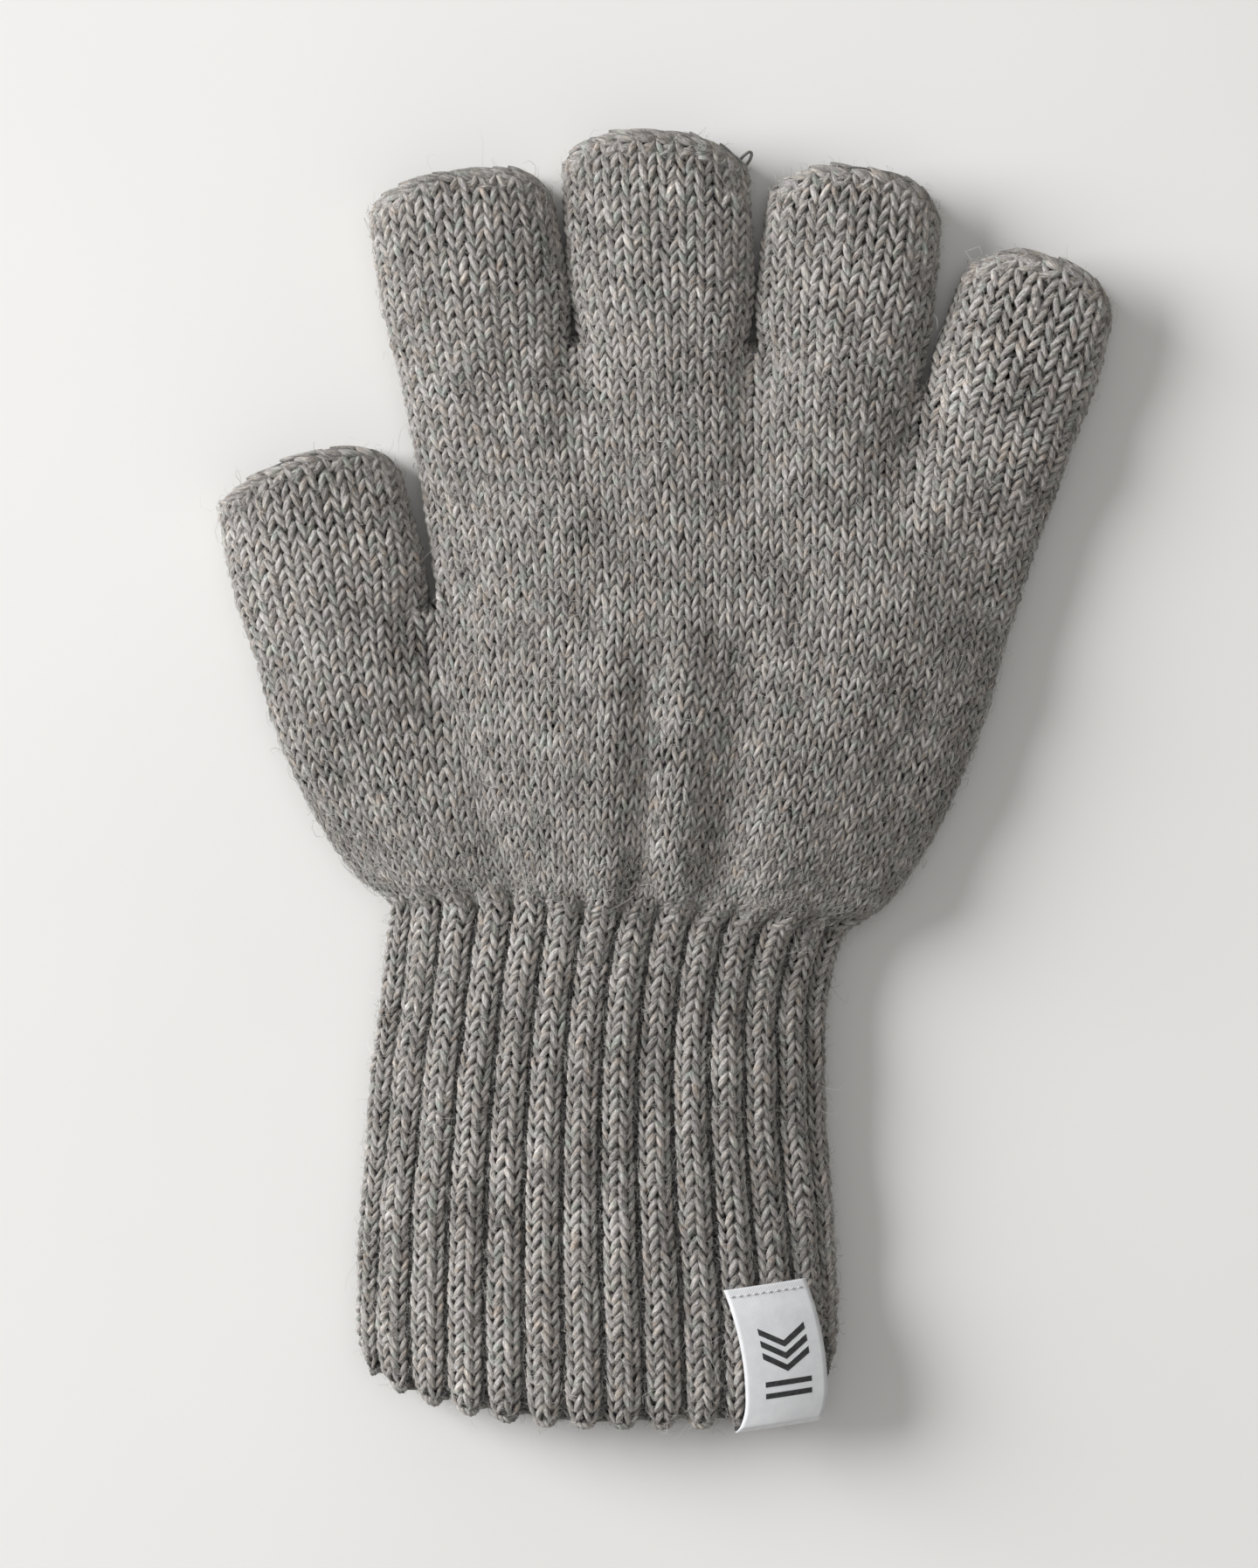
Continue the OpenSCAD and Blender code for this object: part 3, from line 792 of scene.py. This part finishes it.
def lower_front(u, v):
    end = mix(FINGER_TOP, PALM_TOP, ease((u - THUMB_SHARE + 0.08) / 0.16))
    half = mix(mix(CUFF_TOP, PALM_TOP, ease(5 * v + 0.15)), end, ease(v))
    return half * mix(crown(u), lobed(LOWER_BREAKS, u), ease((v - CROWN_START) / 0.65))


def plain_back(u, v):
    return EDGE_Z * flat(u)


lower = Tube(lower_plan, lower_front, plain_back, ALL_WALES, LOWER_COURSES,
             ([-1, 1], LOWER_BREAKS), ([ALL_WALES], [12, PALM_WALES]), 1.0, 0.0)

UPPER_BREAKS = [-1, INDEX_SHARE, MIDDLE_SHARE, RING_SHARE, 1]
UPPER_COURSES = 24
UPPER_LENGTH = 48.0
CROTCH_RISE = 9.0


def upper_plan(u, v):
    high = stops([(-1, INDEX_OUTER), (INDEX_SHARE, INDEX_CROTCH), (MIDDLE_SHARE, MIDDLE_CROTCH),
                  (RING_SHARE, RING_CROTCH), (1, LITTLE_OUTER)], u)
    return section_plan(line(THUMB_CROTCH, PALM_RIGHT, (u + 1) / 2), high, UPPER_SIDES, u, v)


def held_up(u, v, length, left, right):
    """How far a tube's sides keep the height of the fabric that they grow from, near its root."""
    side = np.where(u < 0, left, right) * ease((np.abs(u) - 0.4) * 2)
    return side * (1 - ease(v * length / CROTCH_RISE))


def upper_front(u, v):
    low = np.maximum(crown(u), DIP_CROWN * held_up(u, v, UPPER_LENGTH, 1, 0))
    return mix(PALM_TOP, FINGER_TOP, ease(v)) * mix(
        low, lobed(UPPER_BREAKS, u), ease((v - CROWN_START) / 0.65))


def upper_back(u, v):
    return EDGE_Z * np.maximum(flat(u), held_up(u, v, UPPER_LENGTH, 1, 0))


upper = Tube(upper_plan, upper_front, upper_back, PALM_WALES, UPPER_COURSES,
             ([-1, 1], UPPER_BREAKS), ([PALM_WALES], [12, 12, 11, 9]), 0.0, 0.0)


def finger_tube(name):
    root_l, root_r, rim_l, rim_r, (arc, lean), wales, free = FINGERS[name]
    root = [np.array(root_l, float), np.array(root_r, float)]
    rim = [np.array(rim_l, float), np.array(rim_r, float)]
    axis = unit(rim[0] + rim[1] - root[0] - root[1])
    end = [rim[0] - axis * CHAIN_L, rim[1] - axis * CHAIN_L]
    chord = unit(end[1] - end[0])
    out = np.array([-chord[1], chord[0]])
    length = np.linalg.norm((end[0] + end[1] - root[0] - root[1]) / 2)
    left, right = (0 if side else 1 for side in free)

    def plan(u, v):
        s = (u + 1) / 2
        bow = arc * (1 - np.abs(u - lean * (1 - u * u)) ** RIM_POWER) * np.clip(v, 0, 1) ** 2
        bulge = SIDE_BULGE * u * np.sin(math.pi * np.clip(v, 0, 1))
        near = CROTCH_FILL * np.sin(math.pi * np.clip(1.6 * v, 0, 1))
        bulge = bulge + np.where(u < 0, left, right) * u * near
        return (mix(line(*root, s), line(*end, s), v[..., None]) + out * bow[..., None]
                + chord * bulge[..., None])

    def top(u, v):
        return FINGER_TOP * np.maximum(crown(u), DIP_CROWN * held_up(u, v, length, left, right))

    def back(u, v):
        return EDGE_Z * np.maximum(flat(u), held_up(u, v, length, left, right))

    courses = round((length + arc * 0.6) / COURSE)
    return Tube(plan, top, back, wales, courses, ONE_DOME, ([wales], [wales]), 0.0, 0.0, 3.0)


tubes = {name: finger_tube(name) for name in FINGERS}
cuff.join(lower, 0, 0, ALL_WALES)
lower.join(tubes["thumb"], 0, 0, tubes["thumb"].n)
lower.join(upper, tubes["thumb"].n, 0, PALM_WALES)
# The wale where each finger ends on its right, where a crotch is darned shut
corner = {"thumb": tubes["thumb"].n}
taken = 0
for name in ("index", "middle", "ring", "little"):
    upper.join(tubes[name], taken, 0, tubes[name].n)
    taken += tubes[name].n
    corner[name] = taken


def purl(k):
    return np.isin(k % RIB_WALES, (0, 3))


def knit_piece(name, tube, rows, purls=None, fill=0.0):
    yarns = Yarns()
    knit(yarns, tube, rows, purls, fill)
    return yarns.make(name, WOOL)


def fibre_piece(name, tube, span):
    """Short fibres all over a tube and a few long curly ones, fewer of both on its back."""
    yarns = Yarns()
    stitches = tube.n * (span[1] - span[0])
    for side, dense in ((0, FRONT_FIBRES), (1, BACK_FIBRES)):
        hairs(yarns, tube, int(stitches * dense), SHORT_FIBRE, span, side)
        hairs(yarns, tube, int(stitches * dense * LONG_SHARE), LONG_FIBRE, span, side)
    return yarns.make(name, FIBRE)


def bands(courses, parts):
    """Lists of courses that share a tube out over parts."""
    edges = [round(courses * i / parts) for i in range(parts + 1)]
    return [list(range(a, b)) for a, b in zip(edges[:-1], edges[1:])]


cuff_pieces = [knit_piece(f"cuff_ribbing_knit_{i + 1}", cuff, rows, purl)
               for i, rows in enumerate(bands(CUFF_COURSES, 4))]
lower_pieces = [knit_piece(f"five_finger_palm_knit_{i + 1}", lower, rows)
                for i, rows in enumerate(bands(LOWER_COURSES, 2))]
upper_pieces = [knit_piece(f"four_finger_palm_knit_{i + 1}", upper, rows)
                for i, rows in enumerate(bands(UPPER_COURSES, 2))]
# The finger tubes' gaps get less painted shade, eased 0.35 of the way to the strands' plain colour
finger_pieces = {name: knit_piece(f"{name}_tube_knit", t, list(range(t.r + 1)), fill=0.35)
                 for name, t in tubes.items()}


def edge_piece(name, tube, build):
    yarns = Yarns()
    build(yarns, tube)
    return yarns.make(name, EDGE_WOOL)


# The loose loop of yarn at the middle finger's right corner
LOOSE_LOOP = ((11.6, 105.8, 7.6), (12.9, 107.2, 7.4), (14.0, 108.5, 7.0), (14.9, 109.1, 6.6),
              (15.3, 108.6, 6.4), (14.9, 107.6, 6.4), (14.2, 106.6, 6.6), (13.0, 105.2, 6.6))
LOOSE_LOOP_R = 0.27


def middle_edge(yarns, tube):
    """The middle finger's chain, with the yarn's end standing out as a small loose loop."""
    chain_edge(yarns, tube)
    knots = np.array(LOOSE_LOOP)
    t = np.linspace(0, len(knots) - 1, 29)
    path = np.stack([np.interp(t, np.arange(len(knots)), knots[:, i]) for i in range(3)], -1)
    for _ in range(4):
        path[1:-1] = path[1:-1] * 0.5 + (path[2:] + path[:-2]) * 0.25
    up = np.broadcast_to([0.0, 0.0, 1.0], path.shape)
    yarns.sweep(path[None], np.full((1, len(t)), LOOSE_LOOP_R), up[None], False,
                np.full((1, len(t)), -0.5), 7.0, 8)


chain_pieces = {name: edge_piece(f"{name}_chain_edge_yarn", t,
                                 middle_edge if name == "middle" else chain_edge)
                for name, t in tubes.items()}
hem_piece = edge_piece("cuff_starting_edge_yarn", cuff, hem_edge)


def fibre_pieces(name, tube, low, parts):
    """The fibres of one tube, shared out over pieces by their height along it."""
    edges = np.linspace(low, tube.r, parts + 1)
    return [fibre_piece(f"{name}_stray_fibres_{i + 1}", tube, span)
            for i, span in enumerate(zip(edges[:-1], edges[1:]))]


cuff_fibres = fibre_pieces("cuff", cuff, -0.3, 4)
palm_fibres = (fibre_pieces("five_finger_palm", lower, 0, 3)
               + fibre_pieces("four_finger_palm", upper, 0, 2))
finger_fibres = {name: fibre_piece(f"{name}_stray_fibres", t, (0, t.r + 1.9))
                 for name, t in tubes.items()}


# ---- Closing stitches that darn the crotches shut ----
CLOSING_STRANDS = 7
CLOSING_STEPS = 15
CLOSING_SPACING = 0.85
CLOSING_R = 0.5
CLOSING_LIFT = 1.15
# How far inside the crotch the strands start, and how far out they swing between its two faces
CLOSING_ROOT = 1.6
CLOSING_SWING = 3.4


def closing(name, tube, wale, out, lean):
    """Strands wound from the front, round the crotch and under to the back."""
    yarns = Yarns()
    t = np.linspace(0, 1, CLOSING_STEPS)
    out = np.array([*out, 0.0])
    out = out / np.linalg.norm(out)
    across = np.array([out[1], -out[0], 0.0])
    top = tube.at(np.array(float(wale)), np.array(float(tube.r)))
    for i in range(CLOSING_STRANDS):
        off = (i - (CLOSING_STRANDS - 1) / 2) * CLOSING_SPACING
        slip = draw.normal(0, 0.25, 3)
        angle = mix(-0.35, math.pi - 0.1, t)
        high = top[2] + CLOSING_LIFT - abs(off) * 0.05
        z = high / 2 + 0.3 + (high / 2 - 0.4) * np.cos(angle)
        reach = (CLOSING_SWING * np.sin(angle) - CLOSING_ROOT * (1 + np.clip(-angle, 0, 1))
                 - 0.25 * abs(off))
        swing = off * (1 - 0.25 * t) + lean * (0.5 - t) * 3.0 + slip[0]
        path = (top * [1, 1, 0] + out * (reach + slip[1] * 0.5)[:, None]
                + across * swing[:, None] + np.array([0, 0, 1.0]) * z[:, None])
        up = np.stack([out * math.sin(a) + np.array([0, 0, 1.0]) * math.cos(a) for a in angle])
        radius = spindle(len(t), CLOSING_R * (1 + 0.1 * slip[2]), 0.55)
        yarns.sweep(path[None], radius[None], up[None], False,
                    np.full((1, len(t)), draw.normal(0, 0.8)), draw.uniform(0, 500), 8)
    return yarns.make(f"{name}_crotch_darning", CROTCH_SHADED_WOOL)


# For each crotch: the tube that it is in, the way it opens in plan, and its strands' lean
CROTCHES = {
    "thumb": (lower, (-0.25, 1), 1.2),
    "index": (upper, (-0.05, 1), 0.8),
    "middle": (upper, (0.05, 1), -0.8),
    "ring": (upper, (0.25, 1), -0.8),
}
closing_pieces = {name: closing(name, tube, corner[name], out, lean)
                  for name, (tube, out, lean) in CROTCHES.items()}

# ---- Ribbon label ----
LABEL_W = 14.2
LABEL_T = 0.24
LABEL_TOP_Y = -85.9
LABEL_FOLD_Y = -110.9
LABEL_BACK_L = 17.0
LABEL_TURN = math.radians(7.6)
LABEL_LEFT_Z = 15.5
LABEL_RIGHT_Z = 13.0
LABEL_UNDER_Z = 0.35
LABEL_DOME = 0.45
LABEL_BILLOW = 0.55
LABEL_SEAM_SINK = 0.75
LABEL_FOLD_R = 1.6
LABEL_MIDDLE_X = 21.0
# The ribbon curves away to the left above and below this place along it
LABEL_BOW_Y = -105
LABEL_BOW_ABOVE = 0.0103
LABEL_BOW_BELOW = 0.05
LABEL_COLUMNS = 18
SEAM_FROM_END = 1.4
SEAM_STITCHES = 10
SEAM_MARGIN = 0.6
THREAD_R = 0.17


def label_line(y):
    """Middle of the ribbon's front flap in plan at the place y along it."""
    away = y - LABEL_BOW_Y
    return LABEL_MIDDLE_X - np.where(away > 0, LABEL_BOW_ABOVE, LABEL_BOW_BELOW) * away ** 2


def label_run(steps=90):
    """The ribbon's run from its sewn end, over the fold and back underneath, as y and height."""
    fold_start = LABEL_FOLD_Y + LABEL_FOLD_R
    front = np.linspace(LABEL_TOP_Y, fold_start, int(steps * 0.55))
    share = (front - LABEL_TOP_Y) / (LABEL_FOLD_Y - LABEL_TOP_Y)
    rise = (LABEL_BILLOW * np.sin(math.pi * share) ** 1.3
            - LABEL_SEAM_SINK * (1 - ease(share * 5)))
    turn = np.linspace(0, math.pi, int(steps * 0.25))[1:]
    fold_y = fold_start - LABEL_FOLD_R * np.sin(turn)
    back = np.linspace(fold_start, fold_start + LABEL_BACK_L, int(steps * 0.2))[1:]
    y = np.concatenate([front, fold_y, back])
    lower_share = np.concatenate([0 * front, (1 - np.cos(turn)) / 2, 1 + 0 * back])
    rise = np.concatenate([rise, 0 * fold_y + rise[-1], 0 * back])
    return y, lower_share, rise


def label_at(x, y, low, rise):
    """Places on the ribbon: x from 0 to 1 across it, low from 0 in front to 1 underneath."""
    top = mix(LABEL_LEFT_Z, LABEL_RIGHT_Z, x) + LABEL_DOME * np.sin(math.pi * x) + rise
    z = mix(top, LABEL_UNDER_Z, low)
    mid = label_line(np.maximum(y, LABEL_FOLD_Y))
    off = (x - 0.5) * LABEL_W
    return np.stack([mid + off * math.cos(LABEL_TURN), y + off * math.sin(LABEL_TURN), z], -1)


def slab(top, bottom):
    """Places and faces of a closed thin sheet between two matching grids. Its wall comes last."""
    m, n = top.shape[:2]
    points = np.concatenate([top.reshape(-1, 3), bottom.reshape(-1, 3)]) * MM
    index = np.arange(m * n).reshape(m, n)
    a, b, c, d = index[:-1, :-1], index[1:, :-1], index[1:, 1:], index[:-1, 1:]
    up = np.stack([a, b, c, d], -1).reshape(-1, 4)
    down = up[:, ::-1] + m * n
    loop = np.concatenate([index[:, 0], index[-1, 1:], index[-2::-1, -1], index[0, -2:0:-1]])
    nxt = np.roll(loop, -1)
    wall = np.stack([nxt, loop, loop + m * n, nxt + m * n], -1)
    return points, np.concatenate([up, down, wall]), len(wall)


def face_normal(grid):
    return unit(np.cross(np.gradient(grid, axis=1), np.gradient(grid, axis=0)))


def make_label():
    """The folded ribbon, with what its seam and print need: its front grid, the normals of that,
    and how far along the ribbon each row of it is."""
    x = np.linspace(0, 1, LABEL_COLUMNS + 1)[None, :]
    y, low, rise = (a[:, None] for a in label_run())
    grid = label_at(x + 0 * y, y + 0 * x, low + 0 * x, rise + 0 * x)
    normal = face_normal(grid)
    normal = normal * np.sign(normal[0, 0, 2])
    middle = grid[:, LABEL_COLUMNS // 2]
    u = np.concatenate([[0], np.cumsum(np.linalg.norm(np.diff(middle, axis=0), axis=1))])
    points, faces, walls = slab(grid, grid - normal * LABEL_T)
    mesh = bpy.data.meshes.new("ribbon_label_satin")
    mesh.from_pydata(points.tolist(), [], faces.tolist())
    mesh.polygons.foreach_set("use_smooth", np.arange(len(faces)) < len(faces) - walls)
    uv = mesh.attributes.new("weave", "FLOAT_VECTOR", "POINT")
    place = np.stack([x * LABEL_W + 0 * y, u[:, None] + 0 * x, 0 * y + 0 * x], -1).reshape(-1, 3)
    uv.data.foreach_set("vector", np.concatenate([place, place]).astype(np.float32).ravel())
    return new_object("ribbon_label_satin", mesh, satin()), grid, normal, u


def satin():
    """Woven satin ribbon: a fine diagonal twill."""
    m, tree, shader = new_material("satin_ribbon")
    at = attribute(tree, "weave", (1, 1, 1))
    wave = node(tree, "ShaderNodeTexWave", Scale=1.3, Distortion=0.35, Detail=1.0)
    wave.bands_direction = "DIAGONAL"
    tree.links.new(at, wave.inputs["Vector"])
    cloud = noise(tree, at, 0.5, 2.0, 0.5)
    tone = ramp(tree, cloud, (0.3, (0.69, 0.70, 0.72)), (0.7, (0.755, 0.76, 0.775)))
    colour = tinted(tree, 0.5, tone,
                          ramp(tree, wave.outputs["Fac"], (0.2, (0.9, 0.9, 0.91)), (0.8, (1, 1, 1))))
    surface(tree, shader, colour, 0.42, 0.45)
    shader.inputs["Sheen Weight"].default_value = 0.2
    bump = node(tree, "ShaderNodeBump", Strength=0.5, Distance=0.00006)
    tree.links.new(wave.outputs["Fac"], bump.inputs["Height"])
    tree.links.new(bump.outputs[0], shader.inputs["Normal"])
    return m


def ink():
    """Matt black print, a little worn in spots."""
    m, tree, shader = new_material("print_ink")
    place = node(tree, "ShaderNodeTexCoord").outputs["Object"]
    tone = ramp(tree, noise(tree, place, 1800.0, 2.0, 0.6), (0.35, (0.012, 0.012, 0.013)),
                (0.75, (0.05, 0.05, 0.052)))
    surface(tree, shader, tone, 0.6)
    return m


def sewing():
    """Pale grey twisted sewing thread."""
    m, tree, shader = new_material("sewing_thread")
    twist = noise(tree, attribute(tree, "ply", (3, 3, 0.6)), 1.0, 1.0, 0.5)
    tone = ramp(tree, twist, (0.3, (0.42, 0.42, 0.44)), (0.7, (0.66, 0.66, 0.67)))
    surface(tree, shader, tone, 0.5)
    return m


label, label_grid, label_normal, label_u = make_label()


def on_label(x, along, lift):
    """Places on the ribbon's front face, x millimetres across and along millimetres down it."""
    i = np.interp(along, label_u, np.arange(len(label_u)))
    j = x / LABEL_W * (label_grid.shape[1] - 1)
    a, b = np.floor(i).astype(int), np.floor(j).astype(int)
    a, b = np.clip(a, 0, label_grid.shape[0] - 2), np.clip(b, 0, label_grid.shape[1] - 2)
    fi, fj = (i - a)[..., None], (j - b)[..., None]

    def read(g):
        return mix(mix(g[a, b], g[a, b + 1], fj), mix(g[a + 1, b], g[a + 1, b + 1], fj), fi)

    return read(label_grid) + unit(read(label_normal)) * lift


def make_thread():
    """A row of short stitches across the ribbon near its sewn end."""
    yarns = Yarns()
    count = SEAM_STITCHES
    pitch = (LABEL_W - 2 * SEAM_MARGIN) / count
    t = np.linspace(0, 1, 7)
    start = SEAM_MARGIN + pitch * np.arange(count)[:, None]
    x = start + pitch * 0.6 * t[None, :]
    along = SEAM_FROM_END + draw.normal(0, 0.05, (count, 1)) + 0 * x
    path = on_label(x, along, 0.0) + np.array([0, 0, 1.0]) * (
        0.03 + 0.16 * np.sin(math.pi * t))[None, :, None]
    radius = np.broadcast_to(spindle(7, THREAD_R, 0.5), x.shape)
    up = np.broadcast_to([0.0, 0.0, 1.0], path.shape)
    yarns.sweep(path, radius, up, False, 0 * x, 0.0, 6)
    return yarns.make("label_seam_stitches", sewing())


MARK_MIDDLE = LABEL_W / 2 + 0.4
MARK_FROM_END = 8.0
MARK_W = 8.0
MARK_LINE = 1.15
CHEVRONS, CHEVRON_STEP, CHEVRON_DEPTH = 3, 2.1, 2.6
BARS, BAR_STEP, BAR_LINE, BARS_BELOW = 2, 2.0, 0.92, 9.2
MARK_STEPS = 9
INK_TOP, INK_FOOT = 0.035, 0.005


def mark_lines():
    """Ends and thickness of each line of three nested chevrons over two bars."""
    for i in range(CHEVRONS):
        y = MARK_FROM_END + CHEVRON_STEP * i
        tip = (MARK_MIDDLE, y + CHEVRON_DEPTH)
        yield (MARK_MIDDLE - MARK_W / 2, y), tip, MARK_LINE
        yield tip, (MARK_MIDDLE + MARK_W / 2, y), MARK_LINE
    for i in range(BARS):
        y = MARK_FROM_END + BARS_BELOW + BAR_STEP * i
        yield (MARK_MIDDLE - MARK_W / 2, y), (MARK_MIDDLE + MARK_W / 2, y), BAR_LINE


def make_mark():
    """The printed mark: each of its lines a thin slab that follows the ribbon."""
    points, faces = [], []
    share = np.linspace(0, 1, MARK_STEPS)
    for (x0, y0), (x1, y1), thick in mark_lines():
        x = np.broadcast_to(mix(x0, x1, share)[None, :], (2, MARK_STEPS))
        y = mix(y0, y1, share)[None, :] + np.array([-0.5, 0.5])[:, None] * thick
        places, quads, _ = slab(on_label(x, y, INK_TOP), on_label(x, y, INK_FOOT))
        faces += (quads + len(points)).tolist()
        points += places.tolist()
    mesh = bpy.data.meshes.new("label_mark")
    mesh.from_pydata(points, [], faces)
    return new_object("label_mark", mesh, ink())


thread = make_thread()
mark = make_mark()


def joint(name):
    """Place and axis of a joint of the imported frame."""
    found = next(j for j in frame["joints"] if j["name"] == name)
    return Vector(found["pos_m"]), Vector(found["axis"]).normalized()


def bend_between(piece, name):
    """Bakes the piece's transform into its mesh. The place and axis of the joint name are read but
    not used.
    """
    place, axis = joint(name)
    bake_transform(piece)


for piece in cuff_pieces + [hem_piece] + cuff_fibres:
    bend_between(piece, "cuff_fold")
for piece in lower_pieces + upper_pieces + palm_fibres:
    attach(piece, "hand")
for name in FINGERS:
    for piece, slot in ((finger_pieces[name], "knit_wool"), (chain_pieces[name], "edge_yarn"),
                        (finger_fibres[name], "knit_wool")):
        bend_between(piece, f"{name}_fold")
    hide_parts(f"{name}_tube")
    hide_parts(f"{name}_chain_edge")
for piece in cuff_pieces:
    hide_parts("cuff_ribbing")
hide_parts("cuff_starting_edge")
for piece in lower_pieces:
    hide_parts("five_finger_palm")
for piece in upper_pieces:
    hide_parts("four_finger_palm")
for crotch, piece in closing_pieces.items():
    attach(piece, "hand")
    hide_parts(f"{crotch}_crotch_stitch")
for piece, slot, cad in ((label, "satin_ribbon", "ribbon_label"),
                         (thread, "sewing_thread", "label_seam_thread"),
                         (mark, "print_ink", "label_print")):
    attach(piece, "cuff")
    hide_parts(cad)


# ---- Floor and light ----
FLOOR_REACH = 3.0


def make_floor():
    """A plain pale paper floor."""
    m, tree, shader = new_material("floor_paper")
    place = node(tree, "ShaderNodeTexCoord").outputs["Object"]
    tone = noise(tree, place, 9.0, 3.0, 0.5)
    colour = ramp(tree, tone, (0.3, (0.80, 0.795, 0.785)), (0.7, (0.83, 0.825, 0.815)))
    surface(tree, shader, colour, 0.95, 0.1)
    mesh = bpy.data.meshes.new("floor")
    corners = [(x * FLOOR_REACH, y * FLOOR_REACH, 0) for x, y in ((-1, -1), (1, -1), (1, 1), (-1, 1))]
    mesh.from_pydata(corners, [], [(0, 1, 2, 3)])
    new_object("floor", mesh, m)


def area_light(name, place, size, power):
    """A round soft light that faces the glove from its place, in metres."""
    data = bpy.data.lights.new(name, "AREA")
    data.shape = "DISK"
    data.size = size
    data.energy = power
    light = bpy.data.objects.new(name, data)
    light.location = place
    light.rotation_mode = "QUATERNION"
    light.rotation_quaternion = (-Vector(place)).to_track_quat("-Z", "Y")
    bpy.context.scene.collection.objects.link(light)


def make_light():
    """A large soft window to the left, a weak fill overhead and a pale room."""
    area_light("key", (-1.7, 0.5, 0.86), 1.3, 55)
    area_light("fill", (0.2, 0.2, 1.8), 1.4, 4)
    world = bpy.data.worlds.new("studio")
    world.use_nodes = True
    world.node_tree.nodes["Background"].inputs["Color"].default_value = (1, 0.985, 0.955, 1)
    world.node_tree.nodes["Background"].inputs["Strength"].default_value = 0.32
    bpy.context.scene.world = world
    bpy.context.scene.view_settings.view_transform = "Standard"


make_floor()
make_light()
